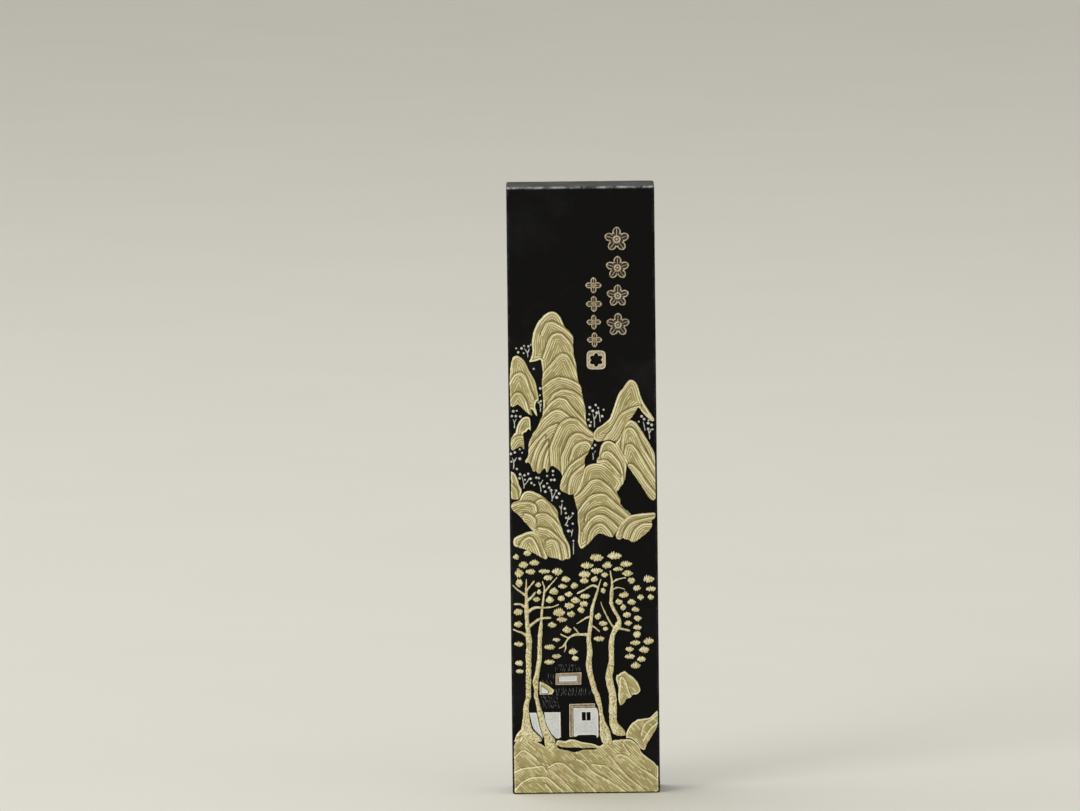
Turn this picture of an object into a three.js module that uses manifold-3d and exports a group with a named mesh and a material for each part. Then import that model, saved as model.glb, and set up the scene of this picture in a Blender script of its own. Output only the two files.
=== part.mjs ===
// A moulded ink stick: a bevelled black cake whose front carries a landscape in low relief.
// The cake is one body. Each painted area of the relief is a thin film of its own.
// Millimetres, +Z up, front face towards -Y, origin at the middle of the underside.
import * as THREE from 'three';
import Module from 'manifold-3d';
import { ConvexGeometry } from 'three/addons/geometries/ConvexGeometry.js';
import { mergeVertices } from 'three/addons/utils/BufferGeometryUtils.js';

// Driving dimensions
const WIDTH = 30;
const HEIGHT = 124;
const THICKNESS = 12.8;      // with the relief
const RELIEF = 0.8;          // highest relief above the field
const EDGE_BEVEL = 0.35;
const FILM = 0.12;           // least thickness of a painted film
const FOLD_STEP = 0.0275;    // each rock fold stands this much above the one behind it
const GAP = 0.25;            // groove between neighbouring painted areas
const PLATEAU = 0.35;        // height of the moulded relief under its paint
const ROOT = 0.3;            // how deep a raised area is rooted in the cake
const CLEAR = 2;             // well above the relief, for cutters
const BACK_Y = THICKNESS / 2;
const FIELD_Y = -THICKNESS / 2 + RELIEF;

const wasm = await Module();
wasm.setup();

const FINISHES = {
  ink: { color: 0x14120f, roughness: 0.5, metalness: 0 },
  gilt: { color: 0xa59869, roughness: 0.5, metalness: 0.5 },
  white: { color: 0xc9c7bd, roughness: 0.7, metalness: 0 },
  silver: { color: 0x8d8b82, roughness: 0.5, metalness: 0.4 },
};

// Shapes: points are flat lists x, z, x, z, ... seen from the front

function outline(points) {
  const corners = [];
  for (let i = 0; i < points.length; i += 2) {
    corners.push(new THREE.Vector2(points[i], points[i + 1]));
  }
  return corners;
}

function solidOf(geometry) {
  geometry.deleteAttribute('normal');
  geometry.deleteAttribute('uv');
  const merged = mergeVertices(geometry, 1e-5);
  const mesh = new wasm.Mesh({
    numProp: 3,
    vertProperties: new Float32Array(merged.attributes.position.array),
    triVerts: new Uint32Array(merged.index.array),
  });
  return new wasm.Manifold(mesh);
}

function geometryOf(solid) {
  const mesh = solid.getMesh();
  const geometry = new THREE.BufferGeometry();
  geometry.setAttribute('position', new THREE.BufferAttribute(mesh.vertProperties, 3));
  geometry.setIndex(new THREE.BufferAttribute(mesh.triVerts, 1));
  return geometry;
}

// A prism of an outline, from `low` to `high` in front of the field
function prism(points, low, high, dx = 0, dz = 0) {
  const shape = new THREE.Shape(outline(points));
  const geometry = new THREE.ExtrudeGeometry(shape, { depth: high - low, bevelEnabled: false });
  geometry.rotateX(Math.PI / 2);
  geometry.translate(dx, FIELD_Y - low, dz);
  return solidOf(geometry);
}

function join(solids) {
  return solids.reduce((sum, solid) => sum.add(solid));
}

// The space that neighbours keep clear of: the outlines spread by GAP all round
function clearance(outlines) {
  const spread = [];
  for (let turn = 0; turn < 4; turn += 1) {
    const angle = ((turn + 0.5) * Math.PI) / 2;
    for (const points of outlines) {
      spread.push(prism(points, -CLEAR, CLEAR, GAP * Math.cos(angle), GAP * Math.sin(angle)));
    }
  }
  return join(spread);
}

// A tapering stroke along a centre line
function stroke(points, startWidth, endWidth) {
  const line = outline(points);
  const left = [];
  const right = [];
  line.forEach((point, i) => {
    const before = line[Math.max(i - 1, 0)];
    const after = line[Math.min(i + 1, line.length - 1)];
    const along = after.clone().sub(before).normalize();
    const width = startWidth + ((endWidth - startWidth) * i) / (line.length - 1);
    const aside = new THREE.Vector2(-along.y, along.x).multiplyScalar(width / 2);
    left.push(point.x + aside.x, point.y + aside.y);
    right.unshift(point.x - aside.x, point.y - aside.y);
  });
  const back = [];
  for (let i = 0; i < right.length; i += 2) back.push(right[i], right[i + 1]);
  return [...left, ...back];
}

// A trunk from rows of height, left edge, right edge
function trunk(rows) {
  const left = [];
  const right = [];
  for (let i = 0; i < rows.length; i += 3) {
    left.push(rows[i + 1], rows[i]);
    right.unshift(rows[i + 2], rows[i]);
  }
  return [...left, ...right];
}

// A closed outline round a centre, its radius a function of the angle
function rosette(x, z, radius, count, shapeOf) {
  const points = [];
  for (let i = 0; i < count; i += 1) {
    const angle = (i * 2 * Math.PI) / count + Math.PI / 2;
    const reach = shapeOf(angle);
    points.push(x + radius * reach * Math.cos(angle), z + radius * reach * Math.sin(angle));
  }
  return points;
}

const roundedBox = (angle) => {
  const c = Math.abs(Math.cos(angle)) ** 5;
  const s = Math.abs(Math.sin(angle)) ** 5;
  return (c + s) ** (-1 / 5);
};

function flower(x, z, radius, { petals, depth, points }) {
  const reach = (angle) => Math.abs(Math.cos(((angle - Math.PI / 2) * petals) / 2));
  return rosette(x, z, radius, points, (angle) => 1 - depth + depth * reach(angle));
}

// A flat six-sided pad
function pad(x, z, width, height) {
  const w = width / 2;
  const h = height / 2;
  return [x - w, z, x - w / 2, z - h, x + w / 2, z - h, x + w, z, x + w / 2, z + h, x - w / 2, z + h];
}

// Rocks and mountains: outline, then the crest line of each fold from back to front

const rocks = {
  gilt_ground: {
    outline: [-14.6, 0.25, -14.65, 10.3, -13.8, 10.9, -12.8, 11.3, -11.5, 11.2, -10.4, 10.9,
      -9.4, 10.4, -8.6, 9.9, -7.9, 9.4, -7.1, 9.3, -6.4, 9.8, -6.0, 10.6, -5.7, 11.0, -5.0, 10.85,
      -4.2, 10.7, -3.3, 11.15, -2.3, 11.1, -1.7, 10.9, -0.8, 10.6, 0, 10.4, 1, 10.35, 2, 10,
      2.6, 9.7, 3.3, 9.9, 3.5, 10.3, 4.3, 10.6, 5.4, 10.8, 6.3, 10.9, 7.5, 11.05, 9, 11.1,
      9.5, 10.8, 10.1, 10.3, 10.7, 9.7, 11, 9, 11.2, 8.4, 12, 7.7, 13, 6.9, 13.9, 6.2, 14.3, 5.6,
      14.65, 5.5, 14.65, 0.25],
    holes: [[-6.0, 10.0, -5.0, 9.6, -4.0, 9.45, -1.5, 9.45, -0.4, 9.25, 0.5, 9.35, 2.3, 9.3,
      1.8, 8.95, 0.6, 9.05, -0.6, 9.0, -1.7, 8.6, -2.3, 8.4, -3.5, 8.8, -4.5, 9.0, -5.6, 9.2]],
    folds: [
      [-2, 7.2, -1, 6.8, 0, 6.1, 1.2, 4.6, 3, 3.5, 5, 2.4, 7, 1, 8.5, -0.1],
      [4.6, 7.8, 5.8, 6.5, 7, 5, 8.6, 3.2, 10.4, 1.8, 12.6, -0.1],
      [6.2, 7.9, 7, 8, 8.6, 7.4, 9.9, 6.1, 11.4, 4.9, 13.1, 4, 15, 2.3],
      [-12.6, 5.4, -10.5, 5.6, -8.7, 5.85, -8, 4.7, -6.8, 3, -6.2, 2],
      [-7.9, 5.4, -6.4, 6.3, -5.8, 6.45, -4.6, 6.3, -3.5, 5.4, -2.4, 4.2, -0.4, 3, 1, 1.4, 2.6, -0.1],
      [-7.6, 5.2, -6.6, 4.5, -5, 3, -3.4, 1.3, -2.1, -0.1],
      [-15.2, 0.3, -13, 2.6, -11, 3.5, -8, 3.5, -6.9, 2.6, -5.4, 1.3, -4.2, -0.1],
    ],
  },
  gilt_bank_rock: {
    outline: [8.2, 11.3, 8.2, 12.4, 8.6, 13.2, 9, 13.9, 9.7, 14.5, 10.4, 15, 11.2, 15.2, 12.9, 15.3,
      13.9, 16.2, 14.65, 17.1, 14.65, 13.9, 14.1, 12.7, 13.3, 11.4, 12.4, 10.1, 12.2, 9.5,
      12, 8.8, 11.6, 8.8, 11, 9.2, 10.7, 9.9, 10.1, 10.5, 9.5, 11, 9, 11.3],
    folds: [[11.2, 12, 11.6, 13.6, 12.3, 14.6, 13.1, 15, 15, 16.6], [11.6, 10.8, 13, 13.1, 15, 14.9]],
  },
  gilt_standing_rock: {
    outline: [6.65, 20, 6.7, 21.8, 6.2, 23.4, 6.4, 24.4, 6.8, 24.2, 7.1, 24.6, 7.7, 24.8, 8, 25.1,
      8.7, 24.4, 9.8, 23.8, 10.6, 22.7, 11.2, 21.5, 11.2, 20.9, 10.8, 20.5, 10.1, 20.1, 9.7, 20.3,
      9.2, 19.5, 8.4, 19.45, 7.9, 18.4, 7.1, 17.9, 6.8, 18.6],
    folds: [[6.9, 21, 7, 23.6, 7.6, 24, 8.4, 22.8, 8.6, 21.6, 9.2, 20, 9.4, 19.6]],
  },
  gilt_shore_rock: {
    outline: [-14.2, 51, -14.35, 51.8, -14.1, 52.6, -12.5, 53.3, -11.7, 53.7, -10.2, 53.9, -9.7, 53.6,
      -9.2, 53.1, -8.8, 52.4, -8.2, 50.5, -7.4, 48.8, -7.4, 48.3, -7.8, 48, -9.2, 48.8, -11, 49.8,
      -12, 50.2, -13.8, 50.7],
    folds: [[-13.4, 49.9, -12.5, 52, -11.5, 52.7, -10.8, 52.8, -10.2, 52.4, -9.4, 51, -8.2, 47.5]],
  },
  gilt_left_mountain: {
    outline: [-13, 60.2, -12.6, 61.2, -12, 61.9, -11.3, 62.15, -10.4, 62.1, -8.9, 61.4, -7.4, 60.3,
      -5.9, 58.9, -5.3, 58.1, -5.1, 57.2, -5.1, 56.2, -4.4, 54.7, -4.2, 53.5, -3.6, 52.3, -2.9, 51,
      -2.7, 49.2, -2.7, 48.5, -3, 48, -3.65, 48.2, -4.3, 47.65, -5.3, 48.2, -7.2, 48.5, -8.2, 50.5,
      -8.8, 52.4, -9.2, 53.1, -10.3, 53.9, -11.8, 55.6, -13, 57.1, -14.65, 58.4, -14.6, 59.7,
      -13.4, 60.05],
    folds: [
      [-9.8, 59.6, -9.4, 60.1, -8.7, 60.5, -7.9, 60.3, -6.8, 59.2, -5.4, 57],
      [-15.2, 59, -13.6, 59.7, -12.4, 59.9, -11, 59.9, -10.2, 59.6, -9.6, 59.2, -9.4, 58.2],
      [-9.8, 57, -9.4, 57.4, -8.4, 57.55, -7.4, 57.4, -6, 56.3, -4.8, 54.9, -3.8, 52.9],
      [-12, 57.6, -11, 57.4, -10.3, 57, -9.8, 56.4, -9.7, 55.8],
      [-9.2, 54.7, -8.4, 54.6, -7, 54.3, -5.4, 52.9, -3.8, 51, -3.2, 47.5],
      [-7.6, 51.8, -7, 52.2, -6.3, 52.2, -5.6, 51.9, -5.2, 51.2, -4.7, 49, -4.6, 47],
    ],
  },
  gilt_left_strip: {
    outline: [-14.65, 66.1, -14.3, 66.1, -13.7, 65.6, -13.3, 64.6, -13, 63.3, -12.4, 62.2,
      -12.7, 61.3, -13, 60.4, -14.65, 60.4],
    folds: [[-15.2, 64, -13.9, 63, -13.4, 62.2, -13.2, 60]],
  },
  gilt_wing_rock: {
    outline: [6.5, 52.8, 6.9, 54, 7.4, 55, 8, 55.8, 8.8, 56.5, 9.6, 57, 12.5, 57.3, 14.65, 57.4,
      14.4, 56.1, 13.7, 55.9, 14, 54.8, 13.4, 53.8, 12, 52.6, 10.8, 51.7, 10, 51.3, 9, 51.95,
      8.2, 52, 8, 52.4, 7.4, 51.9, 6.6, 52.2],
    folds: [
      [7.7, 51.5, 8.3, 53.6, 8.8, 54.5, 9.4, 55.2, 10.2, 55.7, 12.4, 56.2, 15, 56.7],
      [9, 51, 10.3, 53.9, 11.2, 54.8, 12.2, 55.3, 14.4, 55.2],
    ],
  },
  gilt_middle_mountain: {
    outline: [-2, 61.2, -1.5, 61.8, -1, 62.6, -0.3, 64.6, 0, 65.6, 0.3, 66.6, 0.9, 67.2, 1.8, 67.5,
      2.8, 67.6, 3.5, 67.5, 4.2, 67.3, 4.9, 66.8, 6.2, 65.6, 7.5, 64.2, 7.9, 63.2, 7.4, 62.6,
      7.2, 62, 6.7, 61.9, 7.2, 60.8, 7.6, 60.2, 7.4, 59.4, 8, 58.6, 9, 57.7, 9.9, 57.1, 8.8, 56.5,
      8, 55.8, 7.4, 55, 6.9, 54, 6.2, 53, 5.8, 52.3, 4.2, 53, 3.1, 53.4, 2, 52.4, 0.8, 51,
      -0.6, 50, -1.1, 51, -1.2, 52, -1, 54, -1.2, 56.5, -1.1, 57.6, -1.5, 59],
    folds: [
      [-2.3, 60.4, -0.9, 61.2, 0, 62.2, 1.3, 63.8, 2, 64.2, 3, 64.3, 3.9, 64, 5.4, 62.8, 7, 60.6,
        8, 58.9],
      [-1.5, 57.2, -0.3, 59, 0.6, 60.1, 1.3, 60.8, 2, 61.2, 3, 61.4, 4, 61.4, 4.8, 61.1, 6.4, 59.5,
        8, 58, 10, 56.2],
      [0.3, 56, 0.5, 56.9, 1, 57.7, 1.8, 58.2, 2.7, 58.6, 3.6, 58.8, 4.5, 58.7, 6.2, 57.6, 9, 55.6],
      [-0.1, 54, 0.8, 55.5, 2, 56.7, 2.8, 57.1, 3.7, 57.1, 4.5, 56.8, 6.2, 55.4, 7.8, 53.6],
      [0.5, 50, 1.2, 53.6, 1.9, 54.6, 2.7, 55.2, 3.5, 55.4, 4.2, 55.1, 5.5, 53.6, 6.3, 51.8],
    ],
  },
  gilt_shoulder_rock: {
    outline: [2.8, 68.3, 3.3, 69, 3.4, 70, 3.6, 71, 4, 71.7, 4.6, 72.1, 5.3, 72.2, 6, 72, 6.5, 71.6,
      7, 70.9, 7.8, 69.5, 8.3, 68.7, 8.7, 67.9, 8.9, 67, 8.6, 65.5, 8.65, 64.7, 8.3, 63.8,
      7.9, 62.9, 7.5, 64.2, 6.2, 65.6, 4.9, 66.8, 3.5, 67.5, 2.8, 67.6],
    folds: [
      [3.7, 69, 4, 69.8, 4.8, 70.1, 5.4, 70, 6.2, 69.3, 7.5, 67.7, 8.1, 65.8, 8.2, 62],
      [2.4, 68, 4, 68.3, 4.8, 68.3, 6.2, 67, 7.6, 65.2],
    ],
  },
  gilt_right_mountain: {
    outline: [6.6, 71.8, 7.2, 72.2, 7.6, 73, 8, 74, 8.8, 75.6, 9.4, 76.2, 9.9, 76.4, 10.5, 76.1,
      11.2, 75.4, 11.9, 74.3, 13.3, 72, 14, 70.7, 14.5, 69.5, 14.65, 68, 14.65, 60.2, 14.1, 59.85,
      13.5, 60.2, 12.8, 61.2, 12, 62.6, 11.1, 64, 10.2, 65.3, 9.3, 66.6, 9, 67, 8.7, 67.9,
      7.8, 69.5, 7, 70.9],
    folds: [
      [7.9, 70.5, 7.9, 72, 8.3, 74.1, 8.9, 74.7, 9.6, 74.9, 10.3, 74.6, 10.9, 73.8, 12, 71.2,
        13.6, 68.5, 15, 66],
      [8.4, 69.5, 8.7, 71.1, 9.3, 71.5, 10.1, 71.4, 11.2, 70, 12.5, 67.6, 15, 63.5],
      [9.2, 67.3, 9.6, 67.5, 10.3, 67.2, 11.5, 65.8, 12.9, 63.6, 15, 61],
    ],
  },
  gilt_right_ridge: {
    outline: [2.2, 72.5, 2.2, 73.9, 3, 74.9, 4, 75.4, 5, 76.2, 5.6, 76.9, 6, 78, 7, 80.9, 7.6, 82.1,
      8.5, 83.2, 9.2, 84.2, 9.9, 84.7, 10.6, 84.4, 11.2, 83.5, 11.6, 82.2, 11.9, 80.9, 12.5, 79.7,
      14.1, 77.2, 14.5, 76.6, 14.4, 76.1, 13.9, 76.1, 12.4, 77.6, 11.3, 79.1, 10.9, 78.2,
      9.7, 76.5, 9, 75.9, 7.8, 73.7, 7.3, 72.5, 6.6, 71.9, 6, 72.2, 5.3, 72.4, 4.6, 72.3,
      3.6, 72.1, 3, 72, 2.5, 72.4],
    folds: [[3.8, 71.6, 5, 73.4, 5.8, 74.2, 7, 76.4, 7.6, 77.4, 8.3, 78, 9.4, 78.6, 11.8, 79.3]],
  },
  gilt_main_peak: {
    outline: [-11.75, 68.1, -11.1, 69.2, -11, 71, -10.9, 72.2, -9.95, 74, -9.16, 75, -8.6, 76.5,
      -8.1, 77.4, -7.9, 80, -8.2, 84, -7.9, 86, -8.15, 88, -8.3, 89, -9.2, 88.6, -10.9, 88.3,
      -10.2, 89.5, -10, 91, -10.1, 92.6, -9.9, 94, -9.5, 95.3, -8.8, 96.6, -7.9, 97.6, -6.9, 98.4,
      -5.9, 98.75, -5, 98.4, -4.3, 97.6, -3.5, 95.6, -2.6, 94.8, -1.6, 93.4, -1.75, 92.2,
      -1.7, 90, -1.2, 88, -1, 86, -0.9, 84.6, -0.2, 83.2, 0.1, 81, 0.6, 79, 0.75, 76, 1.2, 74.6,
      2.2, 73.9, 2.2, 72, 1.5, 70.8, 1.1, 69.6, 0.5, 69, 0.3, 68, 0.5, 67.4, 0, 65.6, -0.3, 64.6,
      -1, 62.6, -1.5, 61.8, -2, 61.3, -3, 61.2, -3.6, 61.7, -4.4, 61.95, -4.8, 62.6, -4.5, 64.2,
      -4.1, 65.1, -4.7, 66.1, -5.7, 67, -6.5, 67.3, -6.8, 66.6, -7.3, 65.6, -7.75, 66.9,
      -8.4, 66.1, -8.9, 65.4, -9.6, 66.2, -10.1, 65.9, -10.5, 67.2, -11.1, 68.15, -11.4, 67.75],
    folds: [
      [-8.2, 94.2, -7.2, 96.3, -6.3, 96.6, -5.5, 96.5, -3.6, 95.3, -1.9, 93.8, -1.2, 92.8],
      [-7.9, 89.4, -6.5, 93.3, -5.9, 94, -5, 94.3, -4, 94.2, -2.5, 92.6, -1.3, 90],
      [-8.6, 85.2, -6.2, 88, -4.9, 89.6, -4.1, 90.05, -3.4, 90.05, -2.7, 89.6, -1.7, 87.6, -0.6, 84.9],
      [-8.7, 82.7, -6.4, 84.7, -4.8, 85.35, -3, 85, -1.2, 84.2, 0.4, 82.9],
      [-7.2, 79.8, -5.9, 81.9, -4, 82.8, -2, 82.5, -0.3, 81.3, 1, 78.8],
      [-8.6, 77.5, -6.3, 80.2, -4.8, 81.2, -3.3, 80.8, -2.3, 79.3, -0.3, 77.1, 1.4, 75.2],
      [-10.7, 73.4, -7.9, 76.9, -6.2, 78.3, -5.2, 78.7, -4.2, 78.5, -2.8, 77.4, -0.6, 75.7],
      [-11.5, 69.8, -9.6, 72.4, -7, 75, -4.9, 75.9, -4.5, 74],
      [-6.4, 66, -6.7, 71, -5.6, 73.6, -4.6, 75.8, -3, 76.9, -1.2, 76.8, 0.3, 75.3, 1.6, 74, 2.7, 73.4],
      [-4.3, 64, -4.4, 69, -3.5, 71, -2.8, 72.8, -1.5, 73.9, 0, 73.7, 1.1, 72.9, 2.7, 72.6],
      [-2.7, 68.5, -2.1, 70.6, -0.9, 71.9, 0.7, 72.2, 1.3, 71.9, 2, 70.6],
      [-5.2, 62.9, -4, 65, -2.8, 67.1, -1.5, 68.2, 1.6, 70.1],
    ],
  },
  gilt_left_peak: {
    outline: [-14.65, 81.2, -14.7, 84.5, -14.5, 87, -14.2, 89, -13.9, 89.5, -13.2, 89.8, -12.6, 89.6,
      -11.5, 88.5, -10.7, 86.6, -9.7, 85, -9.3, 83.5, -8.9, 81.5, -8.8, 80.5, -9.3, 80.4,
      -9.6, 79.4, -9.1, 77.6, -9.3, 77.2, -10.2, 78.8, -10.5, 78.7, -10, 77.3, -10.9, 77.8,
      -12.5, 79.3, -13.2, 79.9, -13.7, 79.3, -14.65, 79.3, -14.6, 80.5],
    folds: [
      [-15.2, 83.3, -13.8, 85.8, -13.1, 86.2, -12.3, 86.3, -11.3, 85.3, -10.7, 83.2, -9.8, 81],
      [-15.2, 79.7, -13.8, 82, -13.2, 82.25, -12.4, 82.1, -11.4, 80.6, -10.3, 76.8],
    ],
  },
  gilt_left_crags: {
    outline: [-13.6, 74, -13.4, 75.2, -13, 76, -12.4, 76.9, -11.7, 77.3, -11, 77.3, -10.6, 77,
      -10.5, 74.3, -11, 74.9, -11.4, 74.1, -12.05, 74, -12, 73, -11.8, 71, -12, 70.5, -12.5, 71.4,
      -13.8, 70.6, -14.4, 70.3, -14.65, 71.6, -14.6, 72.6, -14.2, 73.4],
    folds: [[-15.2, 71, -13.9, 73, -13, 73.4, -11.6, 73.3]],
  },
};

// Trees: trunk rows of height, left, right, then branches as centre line, first and last width

const trees = {
  gilt_tree_2: {
    rows: [9.3, -8.1, -6.1, 10.3, -8.4, -6.2, 11.3, -8.5, -6.3, 12, -8.7, -6.95, 13, -9, -7.5, 14, -9.3, -8,
      16, -9.6, -8.5, 17, -9.9, -8.8, 18, -9.95, -9.2, 20, -10.45, -9.6, 21.5, -10.4, -9.65,
      22.8, -10.75, -9.55, 24, -10.45, -9.4, 26, -10, -9.1, 28, -9.7, -8.75, 31, -9.6, -8.8,
      33, -9.5, -8.6, 35, -9.1, -8.6, 38, -8.85, -8.35, 40, -8.55, -8.15, 42, -8.15, -7.85,
      43.6, -8.6, -8.4],
    branches: [
      [[-8.2, 41.2, -7.6, 42, -6.3, 43.5, -5.5, 44.4], 0.4, 0.15],
      [[-8.6, 38.2, -7.2, 38.25, -6.2, 38.4, -5.1, 38.9], 0.45, 0.2],
      [[-8.8, 36.05, -7.8, 36.1, -6.8, 36.1], 0.45, 0.35],
    ],
  },
  gilt_tree_1: {
    rows: [10.8, -14.5, -8.9, 11.5, -14.4, -9.1, 12, -14.2, -9.6, 12.6, -13.9, -10.3,
      13.3, -13.2, -10.9, 14, -13, -11.1, 16, -12.75, -11.5, 18, -12.6, -11.6, 20, -12.1, -11.1,
      24, -12.1, -11, 27, -12, -10.95, 28, -12.15, -10.95, 30, -11.9, -10.8, 32, -12, -10.7,
      33, -11.9, -11, 35, -12.1, -11.3, 38, -12.2, -11.4, 40, -12.1, -11.5, 42, -12, -11.6,
      44.2, -11.85, -11.65],
    branches: [
      [[-11.7, 32.3, -12.8, 33.2, -13.4, 33.3, -14.5, 33.8], 0.5, 0.25],
      [[-11.9, 38.2, -12.6, 38.8, -13.2, 39, -14.4, 38.95], 0.5, 0.3],
      [[-11.9, 40.7, -12.5, 41.2, -13.8, 42.1, -14.6, 43], 0.5, 0.2],
      [[-11.8, 41.6, -11.3, 42.3, -10.1, 43.7], 0.5, 0.2],
      [[-11.7, 39.6, -11, 40.1, -10.5, 40.6, -9.9, 41.5], 0.5, 0.4],
      [[-11.7, 37, -11, 37.7, -10.4, 38.15, -9.6, 38.3, -8.4, 38.2], 0.6, 0.5],
      [[-11.6, 34.1, -10.9, 34.7, -9.6, 35.7, -8.6, 36.05], 0.55, 0.5],
    ],
  },
  gilt_tree_3: {
    rows: [10.1, 3.5, 5.4, 10.9, 3.2, 5.3, 11.7, 2.9, 5.15, 12.3, 2.8, 5, 13.3, 2.85, 4.75, 14, 2.85, 4.4,
      15, 2.85, 3.85, 17, 2.75, 3.45, 18, 2.45, 3.35, 19, 2, 3.2, 20, 1.9, 3, 21, 1.3, 2.5,
      23, 0.9, 1.95, 25, 0.3, 1.5, 27, 0.15, 1.3, 29, 0.45, 1.55, 31, 0.35, 1.35, 32, 0.35, 1.2,
      34, 0.7, 1.5, 36, 1.05, 1.7, 38, 1.2, 1.9, 40, 1.9, 2.4, 41.7, 2.5, 2.95, 42.4, 2.7, 3.05,
      43.9, 3.3, 3.5],
    branches: [
      [[2.8, 42.2, 2, 42.65, 1.3, 42.55, 0, 41.8, -1.5, 41], 0.5, 0.25],
      [[1.4, 36.2, 0.6, 36.2, -0.5, 35.5, -1.7, 34.8], 0.4, 0.25],
      [[1.3, 34.5, 2, 34.1, 3.1, 33.1], 0.35, 0.2],
      [[0.9, 32.4, 0.2, 32.7, -0.4, 32.6, -1.8, 32.75, -3.2, 32.1, -3.7, 31.4, -4.1, 30.4, -5.3, 29.8],
        0.65, 0.3],
      [[-3.3, 32, -4.2, 32.3, -5, 32.8], 0.35, 0.2],
      [[-1.2, 32.8, -1.8, 33.7, -2.8, 34.6], 0.35, 0.15],
      [[-3.9, 30.6, -3.9, 29.8, -4.3, 28.8], 0.35, 0.15],
    ],
  },
  gilt_tree_4: {
    rows: [11.8, 6.4, 8, 12.2, 5.5, 8.05, 12.7, 5.35, 8, 13.3, 5.1, 7.6, 14, 4.85, 6.8,
      14.8, 4.8, 6.35, 18, 4.75, 6.35, 20, 4.85, 6.3, 22, 4.4, 5.9, 23.5, 4.05, 5.55, 24.2, 4.1, 5.5,
      26, 4.6, 5.9, 28, 4.9, 5.9, 30, 4.75, 5.9, 32, 5.05, 6, 33, 5.4, 6.4, 34, 5.8, 7.4,
      35, 6.6, 7.5, 36, 6.6, 7.3, 37, 5.95, 6.7, 38, 5.4, 6.1, 39, 5, 5.75, 41, 5.2, 5.85,
      43, 5.45, 5.95, 45.6, 5.2, 5.4],
    branches: [
      [[6.2, 33.9, 5.6, 34.3, 4.4, 36.5, 3.6, 38.3, 3.3, 39.3], 0.4, 0.15],
      [[6.8, 33.9, 8, 33.6, 9.2, 33.3], 0.5, 0.3],
      [[5.7, 43.2, 6.4, 43.7, 7.9, 44.15, 8.5, 44.1], 0.35, 0.2],
      [[5.6, 41.7, 6.5, 42.15, 7.1, 42.2, 8.2, 41.8], 0.4, 0.15],
      [[6.4, 34.2, 6.5, 35], 0.5, 0.4],
    ],
  },
};
const TREE_FILM = 0.3;

// The house: painted walls with bare window panes left in the cake

const house = {
  white_window_pane: {
    outline: [-5.25, 23.15, -1.85, 23.15, -1.8, 24, -5.15, 23.95],
    finish: 'white',
  },
  white_wall_main: {
    outline: [-2.5, 11.7, -2.5, 17.6, 2.2, 17.6, 2.5, 17, 2.6, 16, 2.6, 11.8, 2.3, 11.3,
      2.15, 11.9, 1.4, 12.05, -1.5, 12, -2, 11.7],
    holes: [[-0.75, 15, 0.02, 15, 0.02, 16.7, -0.75, 16.7], [0.22, 15, 1, 15, 1, 16.7, 0.22, 16.7]],
    finish: 'white',
  },
  white_wall_side: {
    outline: [-8.4, 16.75, -5.1, 16.75, -5.05, 11.6, -5.6, 11.3, -6.1, 11.4, -6.9, 12.2, -7.4, 13.1,
      -7.9, 14, -8.2, 15],
    finish: 'white',
  },
  white_wall_back: {
    outline: [-11.45, 16.7, -10, 16.7, -9.8, 16, -9.6, 15, -9.4, 14, -9.1, 13, -8.8, 12, -8.75, 11.3,
      -9.3, 12, -10, 12.7, -10.6, 13.4, -10.9, 14.2, -11.3, 16],
    finish: 'white',
  },
  gilt_wall_frame: {
    outline: [-3.35, 11.65, -2.7, 11.65, -2.7, 17.8, 2, 17.8, 1.9, 18.5, -3.3, 18.4],
    finish: 'gilt',
  },
  gilt_window_frame: {
    outline: [-6.05, 22.35, -0.8, 22.35, -0.75, 24.9, -6, 24.7],
    holes: [[-5.45, 22.95, -1.65, 22.95, -1.6, 24.2, -5.35, 24.15]],
    finish: 'gilt',
  },
  gilt_gable: {
    outline: [-9.3, 20.4, -6.75, 20.4, -6.3, 21.3, -6.8, 21.7, -7.6, 22.3, -9.1, 23.1, -9.3, 23],
    finish: 'gilt',
  },
};
// Silver saplings: forked strokes on the field
const SAPLING_WIDTH = 0.24;
const SAPLING_FILM = 0.25;
const saplings = [
  [[-10.95, 89.3, -10.95, 90.2, -11.7, 91.3], [-10.95, 90.2, -10.6, 91.2]],
  [[-8.5, 78.2, -8.5, 79.2, -8.7, 80.2], [-8.5, 79.2, -8.3, 79.9]],
  [[-13.8, 74.9, -13.8, 76.1, -14.1, 76.8], [-13.8, 76.1, -13.4, 76.9]],
  [[-14.1, 66.6, -14, 68, -14.4, 69], [-14, 68, -13.4, 69]],
  [[-12, 62.6, -12, 63.2, -12.2, 64.3, -12.5, 65.3], [-12, 63.2, -11.3, 64, -10.9, 64.8]],
  [[-8.6, 61.8, -8.6, 62.5, -8.8, 63.3, -9.1, 64.1], [-8.8, 63.3, -8.4, 63.9, -8.1, 64.4]],
  [[-6.4, 59.9, -6.3, 60.5, -6.4, 61.5, -6.6, 62.3], [-6.3, 60.5, -5.9, 61.2, -5.6, 61.9]],
  [[-4.5, 57.1, -4.5, 58.5, -4.3, 59.6], [-4.5, 58.3, -4.9, 59]],
  [[-3.8, 54.9, -3.5, 55.3, -3.2, 56, -3, 57], [-3.2, 56, -2.6, 56.6, -2.2, 57]],
  [[-2.5, 52.7, -2.4, 53.4, -2.2, 54.2], [-2.4, 53.4, -2.8, 54]],
  [[2.1, 68.3, 2.1, 69.4, 1.7, 70], [2.1, 69.4, 2.7, 70.4]],
  [[2.4, 74.9, 2.4, 76.5, 2.1, 77.8], [2.4, 76.5, 2.9, 77.6]],
  [[13.6, 72.4, 13.5, 73.6, 13.1, 74.8], [13.5, 73.6, 14, 74.6]],
];

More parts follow.
